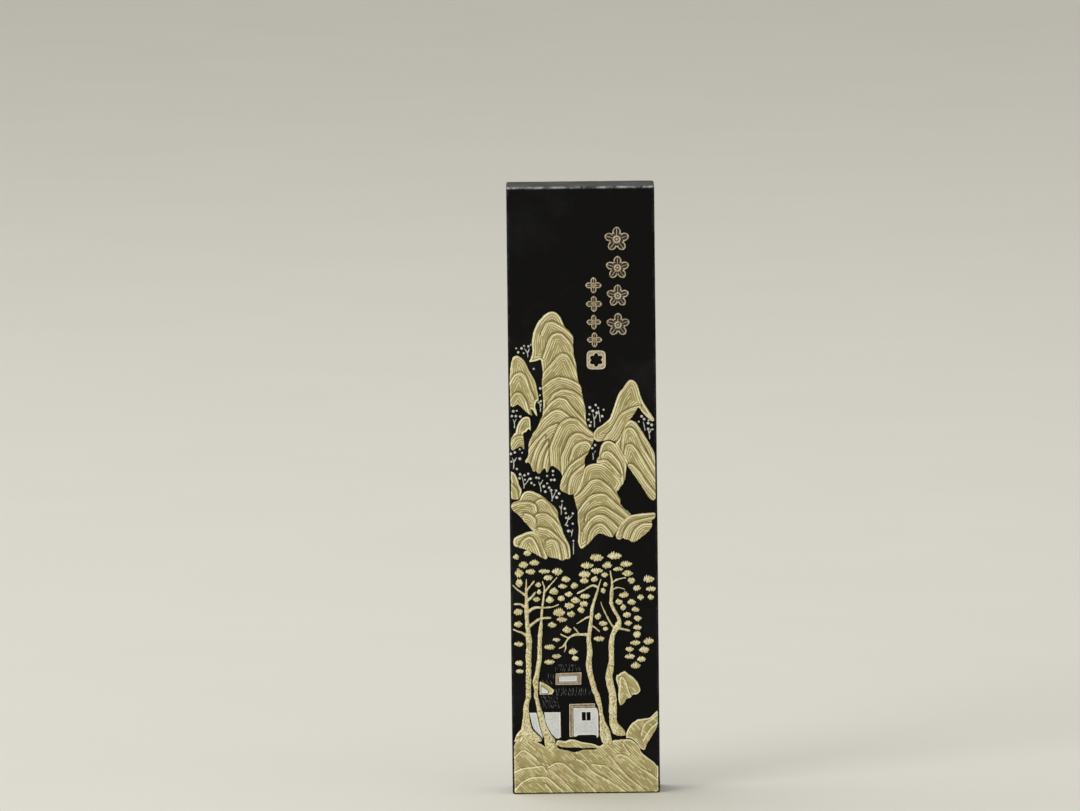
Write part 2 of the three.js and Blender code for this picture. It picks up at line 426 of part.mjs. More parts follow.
// Moulded foliage pads: centre, width, height
const pads = [
  -13.8, 48.6, 1.4, 0.9, -11.5, 49.35, 1.7, 0.8, -12.3, 47, 2, 1.2, -10.1, 47.4, 2.1, 1,
  -13.2, 45.3, 1.9, 1.4, -10.9, 45.6, 2.1, 1.1, -8.1, 45.6, 2.3, 0.9, -5.4, 45.5, 2.3, 1.2,
  -7.3, 44.3, 1.9, 1, -13.2, 43.2, 1.6, 1.3, -3.7, 43.9, 1.9, 1, -4.4, 42.5, 2, 0.9,
  -9.4, 42.8, 1.3, 0.8, -9.2, 41.4, 1, 0.9, -6.2, 41.4, 1.9, 1.2, -2, 42.6, 1.5, 1.1,
  -9.7, 39.9, 1.6, 0.9, -7, 39.7, 1.7, 1.1, -4.7, 40, 1.4, 1, -3.2, 40.9, 1.6, 0.9,
  -1.8, 39.6, 2, 1, -3.1, 38.5, 2.1, 1, -13.5, 37.3, 1.8, 1.2, -5.2, 37.1, 2.5, 1.4,
  -2.8, 36.8, 1.7, 1.1, -4.6, 35.7, 2.3, 0.9, -0.7, 37.6, 1.5, 1.1, -13.5, 34.8, 1.7, 1,
  -6.6, 34.6, 1.9, 0.9, -3.6, 33.6, 1.9, 1.1, -5.8, 31.6, 1.6, 0.8, -7.1, 30.1, 2.3, 0.9,
  -13.4, 30.8, 1.9, 0.9, -2.4, 29.1, 1.9, 1, -5.8, 28.2, 1.9, 0.8, -2, 27.7, 1.4, 0.8,
  -7.3, 27, 2.2, 0.9, -13.4, 26.9, 1.7, 1, -13.3, 25.2, 1.5, 0.9,
  2.6, 48.3, 2.8, 1.3, 6.2, 48.6, 3.1, 1.2, 0.6, 46.7, 2.7, 1.1, 4.7, 46.7, 2.1, 1.1,
  8.5, 46.9, 2.5, 1, 2.6, 45.6, 2.5, 1, 6.9, 45.9, 2.2, 0.9, 0.1, 44.9, 2.5, 1.2,
  4.2, 44.8, 1.5, 0.8, 8.8, 45, 2.4, 0.9, 0, 43.6, 1.8, 1, 2.1, 43.9, 1.4, 1,
  4.3, 42.8, 1, 0.8, 3.8, 41.5, 1, 0.9, 0.2, 40.4, 2.1, 0.9, -0.1, 38.9, 1.7, 1,
  2.7, 36.3, 1.4, 1.1, 3.7, 34.8, 1.8, 0.9, 4.2, 33.7, 1.2, 0.8, 2.9, 31.7, 2.2, 1,
  9.6, 43.6, 1.5, 1.1, 13.1, 43.8, 2.3, 1.2, 10.7, 42, 1.7, 1, 13.5, 41.8, 2, 0.9,
  8, 40.6, 2, 1, 11.4, 40.1, 1.5, 0.9, 13.5, 40.1, 1.3, 1, 7, 39.2, 1.5, 0.9, 9.6, 39.1, 1.8, 1,
  7.8, 38, 1.2, 1, 10.4, 37.6, 1.6, 0.9, 8.6, 36.5, 1.7, 1, 10.8, 35.8, 1.7, 1,
  8.8, 34.8, 1.7, 0.9, 10.7, 33.9, 1.8, 0.9, 10.6, 32.5, 1.6, 1.2, 12.9, 31.1, 2.2, 1.2,
  10.2, 30.8, 2.1, 0.9, 9.1, 29.5, 1.7, 0.9, 12, 29.3, 2.1, 1.1, 9.1, 28, 2.2, 0.9,
  11.5, 27.4, 1.9, 1, 10.3, 26.1, 2, 1.1,
];

// Ornaments: a column of blossoms, a column of small quatrefoils and a tile with a flower opening

const ORNAMENT_FILM = 0.3;
const blossoms = [[7.3, 113.2, 2.6], [7.4, 107.4, 2.45], [7.4, 101.7, 2.35], [7.4, 95.8, 2.45]];
const quatrefoils = [[2.5, 103.9, 1.65], [2.55, 100.1, 1.65], [2.5, 96.4, 1.5], [2.6, 92.8, 1.55]];
const TILE = { x: 2.9, z: 88.7, half: 1.95, opening: 0.7 };
const BLOSSOM = { petals: 5, depth: 0.42, points: 30 };
const QUATREFOIL = { petals: 4, depth: 0.5, points: 24 };
const TILE_FLOWER = { petals: 6, depth: 0.35, points: 24 };
const TILE_POINTS = 24;

// Assembly

const stick = new THREE.Group();
const raised = [];
const taken = [];

function addMesh(name, solid, finish) {
  const material = new THREE.MeshStandardMaterial(FINISHES[finish]);
  const mesh = new THREE.Mesh(geometryOf(solid), material);
  mesh.name = name;
  stick.add(mesh);
}

function cutAll(solid, cutters) {
  return cutters.reduce((rest, cutter) => rest.subtract(cutter), solid);
}

function layer(low, high) {
  const half = WIDTH;
  return prism([-half, -half, half, -half, half, 2 * HEIGHT, -half, 2 * HEIGHT], low, high);
}

// One painted area: a film on the relief (or on the field), cut clear of the areas in front of it
function addFilm(name, outlines, holes, folds, base, film, finish) {
  const openings = holes.map((points) => prism(points, -CLEAR, CLEAR));
  const column = cutAll(join(outlines.map((points) => prism(points, 0, CLEAR))), openings);
  const free = cutAll(column, taken);
  let skin = free.intersect(layer(base, base + film));
  folds.forEach((crest, i) => {
    const under = [...crest, crest[crest.length - 2], -CLEAR, crest[0], -CLEAR];
    skin = skin.add(free.intersect(prism(under, base, base + film + FOLD_STEP * (i + 1))));
  });
  taken.push(clearance(outlines));
  addMesh(name, skin, finish);
  if (base > 0) {
    const body = join(outlines.map((points) => prism(points, -ROOT, base)));
    raised.push(cutAll(body, openings));
  }
}

// Front areas come first, because each one is cut clear of those before it
for (const [name, tree] of Object.entries(trees)) {
  const outlines = [trunk(tree.rows), ...tree.branches.map((branch) => stroke(...branch))];
  addFilm(name, outlines, [], [], PLATEAU, TREE_FILM, 'gilt');
}
for (const [name, area] of Object.entries(house)) {
  addFilm(name, [area.outline], area.holes ?? [], [], PLATEAU, FILM, area.finish);
}
for (const [name, rock] of Object.entries(rocks)) {
  addFilm(name, [rock.outline], rock.holes ?? [], rock.folds, PLATEAU, FILM, 'gilt');
}
saplings.forEach((lines, i) => {
  const outlines = lines.map((line) => stroke(line, SAPLING_WIDTH, SAPLING_WIDTH));
  const name = `silver_sapling_${String(i + 1).padStart(2, '0')}`;
  addFilm(name, outlines, [], [], 0, SAPLING_FILM, 'silver');
});
blossoms.forEach(([x, z, radius], i) => {
  const outlines = [flower(x, z, radius, BLOSSOM)];
  addFilm(`gilt_blossom_${i + 1}`, outlines, [], [], 0, ORNAMENT_FILM, 'gilt');
});
quatrefoils.forEach(([x, z, radius], i) => {
  const outlines = [flower(x, z, radius, QUATREFOIL)];
  addFilm(`gilt_quatrefoil_${i + 1}`, outlines, [], [], 0, ORNAMENT_FILM, 'gilt');
});
const tile = rosette(TILE.x, TILE.z, TILE.half, TILE_POINTS, roundedBox);
const tileFlower = flower(TILE.x, TILE.z, TILE.half * TILE.opening, TILE_FLOWER);
addFilm('gilt_seal_tile', [tile], [tileFlower], [], 0, ORNAMENT_FILM, 'gilt');

// The cake: a box with every edge bevelled, the moulded relief and the foliage pads

function bevelledBox() {
  const corners = [];
  for (const sx of [-1, 1]) {
    for (const [y, sy] of [[FIELD_Y, -1], [BACK_Y, 1]]) {
      for (const [z, sz] of [[0, -1], [HEIGHT, 1]]) {
        const x = (sx * WIDTH) / 2;
        const inX = x - sx * EDGE_BEVEL;
        const inY = y - sy * EDGE_BEVEL;
        const inZ = z - sz * EDGE_BEVEL;
        corners.push(new THREE.Vector3(x, inY, inZ));
        corners.push(new THREE.Vector3(inX, y, inZ));
        corners.push(new THREE.Vector3(inX, inY, z));
      }
    }
  }
  return solidOf(new ConvexGeometry(corners));
}

let cake = join([bevelledBox(), ...raised]);
for (let i = 0; i < pads.length; i += 4) {
  cake = cake.add(cutAll(prism(pad(...pads.slice(i, i + 4)), -ROOT, PLATEAU), taken));
}
addMesh('ink_block', cake, 'ink');

export default stick;
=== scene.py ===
"""An ink stick: a black moulded cake whose front carries a painted landscape in low relief.

Laid out as an add-on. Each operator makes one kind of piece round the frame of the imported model.
Places on the front are in millimetres, x to the right and z up; meshes are in metres.
"""

import math

import bmesh
import bpy
import numpy as np
from mathutils import Matrix, Vector


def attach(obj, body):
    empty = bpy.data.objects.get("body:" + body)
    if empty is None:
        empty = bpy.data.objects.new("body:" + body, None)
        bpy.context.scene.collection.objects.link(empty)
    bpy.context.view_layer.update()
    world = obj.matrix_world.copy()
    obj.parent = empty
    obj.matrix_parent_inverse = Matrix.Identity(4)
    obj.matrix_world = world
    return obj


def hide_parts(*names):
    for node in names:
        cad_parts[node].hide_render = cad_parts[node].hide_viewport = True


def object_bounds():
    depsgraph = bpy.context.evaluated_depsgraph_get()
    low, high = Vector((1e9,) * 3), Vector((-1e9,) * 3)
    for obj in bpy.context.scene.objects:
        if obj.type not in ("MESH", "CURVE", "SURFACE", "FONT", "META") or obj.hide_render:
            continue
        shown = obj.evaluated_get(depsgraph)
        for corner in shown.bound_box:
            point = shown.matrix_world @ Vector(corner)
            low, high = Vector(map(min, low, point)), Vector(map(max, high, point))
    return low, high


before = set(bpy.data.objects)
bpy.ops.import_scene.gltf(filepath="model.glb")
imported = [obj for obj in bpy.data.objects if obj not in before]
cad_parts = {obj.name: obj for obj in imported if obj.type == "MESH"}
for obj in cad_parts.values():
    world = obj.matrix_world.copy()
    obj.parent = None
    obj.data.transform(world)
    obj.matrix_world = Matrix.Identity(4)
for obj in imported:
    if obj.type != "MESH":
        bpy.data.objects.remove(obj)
CAD_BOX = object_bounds()

bl_info = {
    "name": "Ink Stick",
    "version": (1, 0, 0),
    "blender": (4, 5, 0),
    "location": "3D View > Sidebar > Ink Stick",
    "description": "Builds a moulded ink stick with a painted landscape in relief",
    "category": "Add Mesh",
}

MM = 0.001
RELIEF = 0.8 * MM  # from the field to the highest relief, as in the frame
ROOT = 0.08 * MM  # how deep a painted area is sunk into the cake
NEAR = 0.4  # areas further apart than this don't trim each other, in millimetres
OVERHANG = 0.45  # share of a cell by which a trimmed grid may reach past an area's edge
BATCH = 300_000  # how many distances are measured in one go
LATTICE = np.random.default_rng(11).random((256, 256))


# The landscape, in millimetres: flat lists x, z, x, z, ... seen from the front.
# A rock's folds are the crests of its layers, each in front of the one before it.

ROCKS = {
    "ground": {
        "outline": [
            -14.6, 0.25, -14.65, 10.3, -13.8, 10.9, -12.8, 11.3, -11.5, 11.2, -10.4, 10.9, -9.4, 10.4,
            -8.6, 9.9, -7.9, 9.4, -7.1, 9.3, -6.4, 9.8, -6, 10.6, -5.7, 11, -5, 10.85, -4.2, 10.7,
            -3.3, 11.15, -2.3, 11.1, -1.7, 10.9, -0.8, 10.6, 0, 10.4, 1, 10.35, 2, 10, 2.6, 9.7, 3.3, 9.9,
            3.5, 10.3, 4.3, 10.6, 5.4, 10.8, 6.3, 10.9, 7.5, 11.05, 9, 11.1, 9.5, 10.8, 10.1, 10.3,
            10.7, 9.7, 11, 9, 11.2, 8.4, 12, 7.7, 13, 6.9, 13.9, 6.2, 14.3, 5.6, 14.65, 5.5, 14.65, 0.25,
        ],
        "openings": [
            [-6, 10, -5, 9.6, -4, 9.45, -1.5, 9.45, -0.4, 9.25, 0.5, 9.35, 2.3, 9.3, 1.8, 8.95, 0.6, 9.05,
             -0.6, 9, -1.7, 8.6, -2.3, 8.4, -3.5, 8.8, -4.5, 9, -5.6, 9.2],
        ],
        "folds": [
            [7.5, 10.6, 8, 11.1, 9, 11.1, 9.5, 10.8, 10.1, 10.3, 10.7, 9.7, 11, 9],
            [7.5, 10.3, 7.9, 9.6, 8.4, 8.8, 9, 8],
            [6.2, 7.9, 7, 8, 7.7, 7.8, 8.6, 7.4, 9.9, 6.1, 11.4, 4.9, 13.1, 4, 15, 2.3],
            [4.6, 7.8, 5.3, 7.3, 5.8, 6.5, 7, 5, 8.6, 3.2, 10.4, 1.8, 12.6, -0.1],
            [1.2, 6.1, 2.2, 5.9, 3.8, 5.75, 4.5, 5.3, 6, 3.9, 7.6, 2.4, 9.6, 0.7],
            [-2, 7.2, -1, 6.8, 0, 6.1, 1.2, 4.6, 3, 3.5, 5, 2.4, 7, 1, 8.5, -0.1],
            [-15.2, 10.2, -13.8, 11, -12.8, 11.5, -11.6, 10.4, -10.2, 9.2],
            [-15.2, 7, -13.9, 8.2, -13.3, 8.9, -12.8, 9.1, -11.6, 8.5, -10, 7.2],
            [-15.2, 4.3, -13.6, 5.1, -12.6, 5.4, -10.5, 5.6, -8.7, 5.85, -8, 4.7, -6.8, 3, -6.2, 2],
            [-7.9, 5.4, -7.1, 5.9, -6.4, 6.3, -5.8, 6.45, -4.6, 6.3, -3.5, 5.4, -2.4, 4.2, -0.4, 3, 1, 1.4,
             2.6, -0.1],
            [-7.6, 5.2, -6.6, 4.5, -5, 3, -3.4, 1.3, -2.1, -0.1],
            [-15.2, 0.3, -13, 2.6, -11, 3.5, -8, 3.5, -6.9, 2.6, -5.4, 1.3, -4.2, -0.1],
            [-8.4, 2.2, -7.6, 1.3, -6.9, 0.4, -6.5, -0.2],
        ],
    },
    "bank_rock": {
        "outline": [
            8.2, 11.3, 8.2, 12.4, 8.6, 13.2, 9, 13.9, 9.7, 14.5, 10.4, 15, 11.2, 15.2, 12.9, 15.3,
            13.9, 16.2, 14.65, 17.1, 14.65, 13.9, 14.1, 12.7, 13.3, 11.4, 12.4, 10.1, 12.2, 9.5, 12, 8.8,
            11.6, 8.8, 11, 9.2, 10.7, 9.9, 10.1, 10.5, 9.5, 11, 9, 11.3,
        ],
        "folds": [
            [11.2, 12, 11.6, 13.6, 12.3, 14.6, 13.1, 15, 15, 16.6],
            [11.6, 10.8, 13, 13.1, 15, 14.9],
        ],
    },
    "standing_rock": {
        "outline": [
            6.65, 20, 6.7, 21.8, 6.2, 23.4, 6.4, 24.4, 6.8, 24.2, 7.1, 24.6, 7.7, 24.8, 8, 25.1, 8.7, 24.4,
            9.8, 23.8, 10.6, 22.7, 11.2, 21.5, 11.2, 20.9, 10.8, 20.5, 10.1, 20.1, 9.7, 20.3, 9.2, 19.5,
            8.4, 19.45, 7.9, 18.4, 7.1, 17.9, 6.8, 18.6,
        ],
        "folds": [
            [6.9, 21, 7, 23.6, 7.6, 24, 8.4, 22.8, 8.6, 21.6, 9.2, 20, 9.4, 19.6],
        ],
    },
    "shore_rock": {
        "outline": [
            -14.2, 51, -14.35, 51.8, -14.1, 52.6, -12.5, 53.3, -11.7, 53.7, -10.2, 53.9, -9.7, 53.6,
            -9.2, 53.1, -8.8, 52.4, -8.2, 50.5, -7.4, 48.8, -7.4, 48.3, -7.8, 48, -9.2, 48.8, -11, 49.8,
            -12, 50.2, -13.8, 50.7,
        ],
        "folds": [
            [-13.4, 49.9, -12.5, 52, -11.5, 52.7, -10.8, 52.8, -10.2, 52.4, -9.4, 51, -8.2, 47.5],
        ],
    },
    "left_mountain": {
        "outline": [
            -13, 60.2, -12.6, 61.2, -12, 61.9, -11.3, 62.15, -10.4, 62.1, -8.9, 61.4, -7.4, 60.3,
            -5.9, 58.9, -5.3, 58.1, -5.1, 57.2, -5.1, 56.2, -4.4, 54.7, -4.2, 53.5, -3.6, 52.3, -2.9, 51,
            -2.7, 49.2, -2.7, 48.5, -3, 48, -3.65, 48.2, -4.3, 47.65, -5.3, 48.2, -7.2, 48.5, -8.2, 50.5,
            -8.8, 52.4, -9.2, 53.1, -10.3, 53.9, -11.8, 55.6, -13, 57.1, -14.65, 58.4, -14.6, 59.7,
            -13.4, 60.05,
        ],
        "folds": [
            [-9.8, 59.6, -9.4, 60.1, -8.7, 60.5, -7.9, 60.3, -6.8, 59.2, -5.4, 57],
            [-15.2, 59, -13.6, 59.7, -12.4, 59.9, -11, 59.9, -10.2, 59.6, -9.6, 59.2, -9.4, 58.2],
            [-9.8, 57, -9.4, 57.4, -8.4, 57.55, -7.4, 57.4, -6, 56.3, -4.8, 54.9, -3.8, 52.9],
            [-12, 57.6, -11, 57.4, -10.3, 57, -9.8, 56.4, -9.7, 55.8],
            [-9.2, 54.7, -8.4, 54.6, -7, 54.3, -5.4, 52.9, -3.8, 51, -3.2, 47.5],
            [-7.6, 51.8, -7, 52.2, -6.3, 52.2, -5.6, 51.9, -5.2, 51.2, -4.7, 49, -4.6, 47],
        ],
    },
    "left_strip": {
        "outline": [
            -14.65, 66.1, -14.3, 66.1, -13.7, 65.6, -13.3, 64.6, -13, 63.3, -12.4, 62.2, -12.7, 61.3,
            -13, 60.4, -14.65, 60.4,
        ],
        "folds": [
            [-15.2, 64, -13.9, 63, -13.4, 62.2, -13.2, 60],
        ],
    },
    "wing_rock": {
        "outline": [
            6.5, 52.8, 6.9, 54, 7.4, 55, 8, 55.8, 8.8, 56.5, 9.6, 57, 12.5, 57.3, 14.65, 57.4, 14.4, 56.1,
            13.7, 55.9, 14, 54.8, 13.4, 53.8, 12, 52.6, 10.8, 51.7, 10, 51.3, 9, 51.95, 8.2, 52, 8, 52.4,
            7.4, 51.9, 6.6, 52.2,
        ],
        "folds": [
            [7.7, 51.5, 8.3, 53.6, 8.8, 54.5, 9.4, 55.2, 10.2, 55.7, 12.4, 56.2, 15, 56.7],
            [9, 51, 10.3, 53.9, 11.2, 54.8, 12.2, 55.3, 14.4, 55.2],
        ],
    },
    "middle_mountain": {
        "outline": [
            -2, 61.2, -1.5, 61.8, -1, 62.6, -0.3, 64.6, 0, 65.6, 0.3, 66.6, 0.9, 67.2, 1.8, 67.5, 2.8, 67.6,
            3.5, 67.5, 4.2, 67.3, 4.9, 66.8, 6.2, 65.6, 7.5, 64.2, 7.9, 63.2, 7.4, 62.6, 7.2, 62, 6.7, 61.9,
            7.2, 60.8, 7.6, 60.2, 7.4, 59.4, 8, 58.6, 9, 57.7, 9.9, 57.1, 8.8, 56.5, 8, 55.8, 7.4, 55,
            6.9, 54, 6.2, 53, 5.8, 52.3, 4.2, 53, 3.1, 53.4, 2, 52.4, 0.8, 51, -0.6, 50, -1.1, 51, -1.2, 52,
            -1, 54, -1.2, 56.5, -1.1, 57.6, -1.5, 59,
        ],
        "folds": [
            [-2.3, 60.4, -0.9, 61.2, 0, 62.2, 1.3, 63.8, 2, 64.2, 3, 64.3, 3.9, 64, 5.4, 62.8, 7, 60.6,
             8, 58.9],
            [-1.5, 57.2, -0.3, 59, 0.6, 60.1, 1.3, 60.8, 2, 61.2, 3, 61.4, 4, 61.4, 4.8, 61.1, 6.4, 59.5,
             8, 58, 10, 56.2],
            [0.3, 56, 0.5, 56.9, 1, 57.7, 1.8, 58.2, 2.7, 58.6, 3.6, 58.8, 4.5, 58.7, 6.2, 57.6, 9, 55.6],
            [-0.1, 54, 0.8, 55.5, 2, 56.7, 2.8, 57.1, 3.7, 57.1, 4.5, 56.8, 6.2, 55.4, 7.8, 53.6],
            [0.5, 50, 1.2, 53.6, 1.9, 54.6, 2.7, 55.2, 3.5, 55.4, 4.2, 55.1, 5.5, 53.6, 6.3, 51.8],
        ],
    },
    "shoulder_rock": {
        "outline": [
            2.8, 68.3, 3.3, 69, 3.4, 70, 3.6, 71, 4, 71.7, 4.6, 72.1, 5.3, 72.2, 6, 72, 6.5, 71.6, 7, 70.9,
            7.8, 69.5, 8.3, 68.7, 8.7, 67.9, 8.9, 67, 8.6, 65.5, 8.65, 64.7, 8.3, 63.8, 7.9, 62.9,
            7.5, 64.2, 6.2, 65.6, 4.9, 66.8, 3.5, 67.5, 2.8, 67.6,
        ],
        "folds": [
            [3.7, 69, 4, 69.8, 4.8, 70.1, 5.4, 70, 6.2, 69.3, 7.5, 67.7, 8.1, 65.8, 8.2, 62],
            [2.4, 68, 4, 68.3, 4.8, 68.3, 6.2, 67, 7.6, 65.2],
        ],
    },
    "right_mountain": {
        "outline": [
            6.6, 71.8, 7.2, 72.2, 7.6, 73, 8, 74, 8.8, 75.6, 9.4, 76.2, 9.9, 76.4, 10.5, 76.1, 11.2, 75.4,
            11.9, 74.3, 13.3, 72, 14, 70.7, 14.5, 69.5, 14.65, 68, 14.65, 60.2, 14.1, 59.85, 13.5, 60.2,
            12.8, 61.2, 12, 62.6, 11.1, 64, 10.2, 65.3, 9.3, 66.6, 9, 67, 8.7, 67.9, 7.8, 69.5, 7, 70.9,
        ],
        "folds": [
            [7.9, 70.5, 7.9, 72, 8.3, 74.1, 8.9, 74.7, 9.6, 74.9, 10.3, 74.6, 10.9, 73.8, 12, 71.2,
             13.6, 68.5, 15, 66],
            [8.4, 69.5, 8.7, 71.1, 9.3, 71.5, 10.1, 71.4, 11.2, 70, 12.5, 67.6, 15, 63.5],
            [9.2, 67.3, 9.6, 67.5, 10.3, 67.2, 11.5, 65.8, 12.9, 63.6, 15, 61],
        ],
    },
    "right_ridge": {
        "outline": [
            2.2, 72.5, 2.2, 73.9, 3, 74.9, 4, 75.4, 5, 76.2, 5.6, 76.9, 6, 78, 7, 80.9, 7.6, 82.1,
            8.5, 83.2, 9.2, 84.2, 9.9, 84.7, 10.6, 84.4, 11.2, 83.5, 11.6, 82.2, 11.9, 80.9, 12.5, 79.7,
            14.1, 77.2, 14.5, 76.6, 14.4, 76.1, 13.9, 76.1, 12.4, 77.6, 11.3, 79.1, 10.9, 78.2, 9.7, 76.5,
            9, 75.9, 7.8, 73.7, 7.3, 72.5, 6.6, 71.9, 6, 72.2, 5.3, 72.4, 4.6, 72.3, 3.6, 72.1, 3, 72,
            2.5, 72.4,
        ],
        "folds": [
            [3.8, 71.6, 5, 73.4, 5.8, 74.2, 7, 76.4, 7.6, 77.4, 8.3, 78, 9.4, 78.6, 11.8, 79.3],
        ],
    },
    "main_peak": {
        "outline": [
            -11.75, 68.1, -11.1, 69.2, -11, 71, -10.9, 72.2, -9.95, 74, -9.16, 75, -8.6, 76.5, -8.1, 77.4,
            -7.9, 80, -8.2, 84, -7.9, 86, -8.15, 88, -8.3, 89, -9.2, 88.6, -10.9, 88.3, -10.2, 89.5,
            -10, 91, -10.1, 92.6, -9.9, 94, -9.5, 95.3, -8.8, 96.6, -7.9, 97.6, -6.9, 98.4, -5.9, 98.75,
            -5, 98.4, -4.3, 97.6, -3.5, 95.6, -2.6, 94.8, -1.6, 93.4, -1.75, 92.2, -1.7, 90, -1.2, 88,
            -1, 86, -0.9, 84.6, -0.2, 83.2, 0.1, 81, 0.6, 79, 0.75, 76, 1.2, 74.6, 2.2, 73.9, 2.2, 72,
            1.5, 70.8, 1.1, 69.6, 0.5, 69, 0.3, 68, 0.5, 67.4, 0, 65.6, -0.3, 64.6, -1, 62.6, -1.5, 61.8,
            -2, 61.3, -3, 61.2, -3.6, 61.7, -4.4, 61.95, -4.8, 62.6, -4.5, 64.2, -4.1, 65.1, -4.7, 66.1,
            -5.7, 67, -6.5, 67.3, -6.8, 66.6, -7.3, 65.6, -7.75, 66.9, -8.4, 66.1, -8.9, 65.4, -9.6, 66.2,
            -10.1, 65.9, -10.5, 67.2, -11.1, 68.15, -11.4, 67.75,
        ],
        "folds": [
            [-8.2, 94.2, -7.2, 96.3, -6.3, 96.6, -5.5, 96.5, -3.6, 95.3, -1.9, 93.8, -1.2, 92.8],
            [-7.9, 89.4, -6.5, 93.3, -5.9, 94, -5, 94.3, -4, 94.2, -2.5, 92.6, -1.3, 90],
            [-8.6, 85.2, -6.2, 88, -4.9, 89.6, -4.1, 90.05, -3.4, 90.05, -2.7, 89.6, -1.7, 87.6,
             -0.6, 84.9],
            [-8.7, 82.7, -6.4, 84.7, -4.8, 85.35, -3, 85, -1.2, 84.2, 0.4, 82.9],
            [-7.2, 79.8, -5.9, 81.9, -4, 82.8, -2, 82.5, -0.3, 81.3, 1, 78.8],
            [-8.6, 77.5, -6.3, 80.2, -4.8, 81.2, -3.3, 80.8, -2.3, 79.3, -0.3, 77.1, 1.4, 75.2],
            [-10.7, 73.4, -7.9, 76.9, -6.2, 78.3, -5.2, 78.7, -4.2, 78.5, -2.8, 77.4, -0.6, 75.7],
            [-11.5, 69.8, -9.6, 72.4, -7, 75, -4.9, 75.9, -4.5, 74],
            [-10.7, 65.5, -10.4, 68, -9.8, 70, -8.9, 71.8, -7.6, 73.4],
            [-9.5, 65, -9.3, 67.6, -8.7, 69.6, -7.9, 71.2, -7, 72.4],
            [-8.2, 65, -8, 67.5, -7.6, 69.3, -7.1, 70.6, -6.7, 71.2],
            [-6.4, 66, -6.7, 71, -5.6, 73.6, -4.6, 75.8, -3, 76.9, -1.2, 76.8, 0.3, 75.3, 1.6, 74,
             2.7, 73.4],
            [-4.3, 64, -4.4, 69, -3.5, 71, -2.8, 72.8, -1.5, 73.9, 0, 73.7, 1.1, 72.9, 2.7, 72.6],
            [-2.7, 68.5, -2.1, 70.6, -0.9, 71.9, 0.7, 72.2, 1.3, 71.9, 2, 70.6],
            [-5.2, 62.9, -4, 65, -2.8, 67.1, -1.5, 68.2, 1.6, 70.1],
            [-3.2, 60.8, -3, 63.3, -2.5, 64.9, -1.9, 65.7, -0.4, 66.9, 0.6, 67.5],
        ],
    },
    "left_peak": {
        "outline": [
            -14.65, 81.2, -14.7, 84.5, -14.5, 87, -14.2, 89, -13.9, 89.5, -13.2, 89.8, -12.6, 89.6,
            -11.5, 88.5, -10.7, 86.6, -9.7, 85, -9.3, 83.5, -8.9, 81.5, -8.8, 80.5, -9.3, 80.4, -9.6, 79.4,
            -9.1, 77.6, -9.3, 77.2, -10.2, 78.8, -10.5, 78.7, -10, 77.3, -10.9, 77.8, -12.5, 79.3,
            -13.2, 79.9, -13.7, 79.3, -14.65, 79.3, -14.6, 80.5,
        ],
        "folds": [
            [-15.2, 83.3, -13.8, 85.8, -13.1, 86.2, -12.3, 86.3, -11.3, 85.3, -10.7, 83.2, -9.8, 81],
            [-15.2, 79.7, -13.8, 82, -13.2, 82.25, -12.4, 82.1, -11.4, 80.6, -10.3, 76.8],
        ],
    },
    "left_crags": {
        "outline": [
            -13.6, 74, -13.4, 75.2, -13, 76, -12.4, 76.9, -11.7, 77.3, -11, 77.3, -10.6, 77, -10.5, 74.3,
            -11, 74.9, -11.4, 74.1, -12.05, 74, -12, 73, -11.8, 71, -12, 70.5, -12.5, 71.4, -13.8, 70.6,
            -14.4, 70.3, -14.65, 71.6, -14.6, 72.6, -14.2, 73.4,
        ],
        "folds": [
            [-15.2, 71, -13.9, 73, -13, 73.4, -11.6, 73.3],
        ],
    },
}

TRUNK_FOOT = (10.6, 12.2)  # heights between which a trunk comes down to the ground's own level
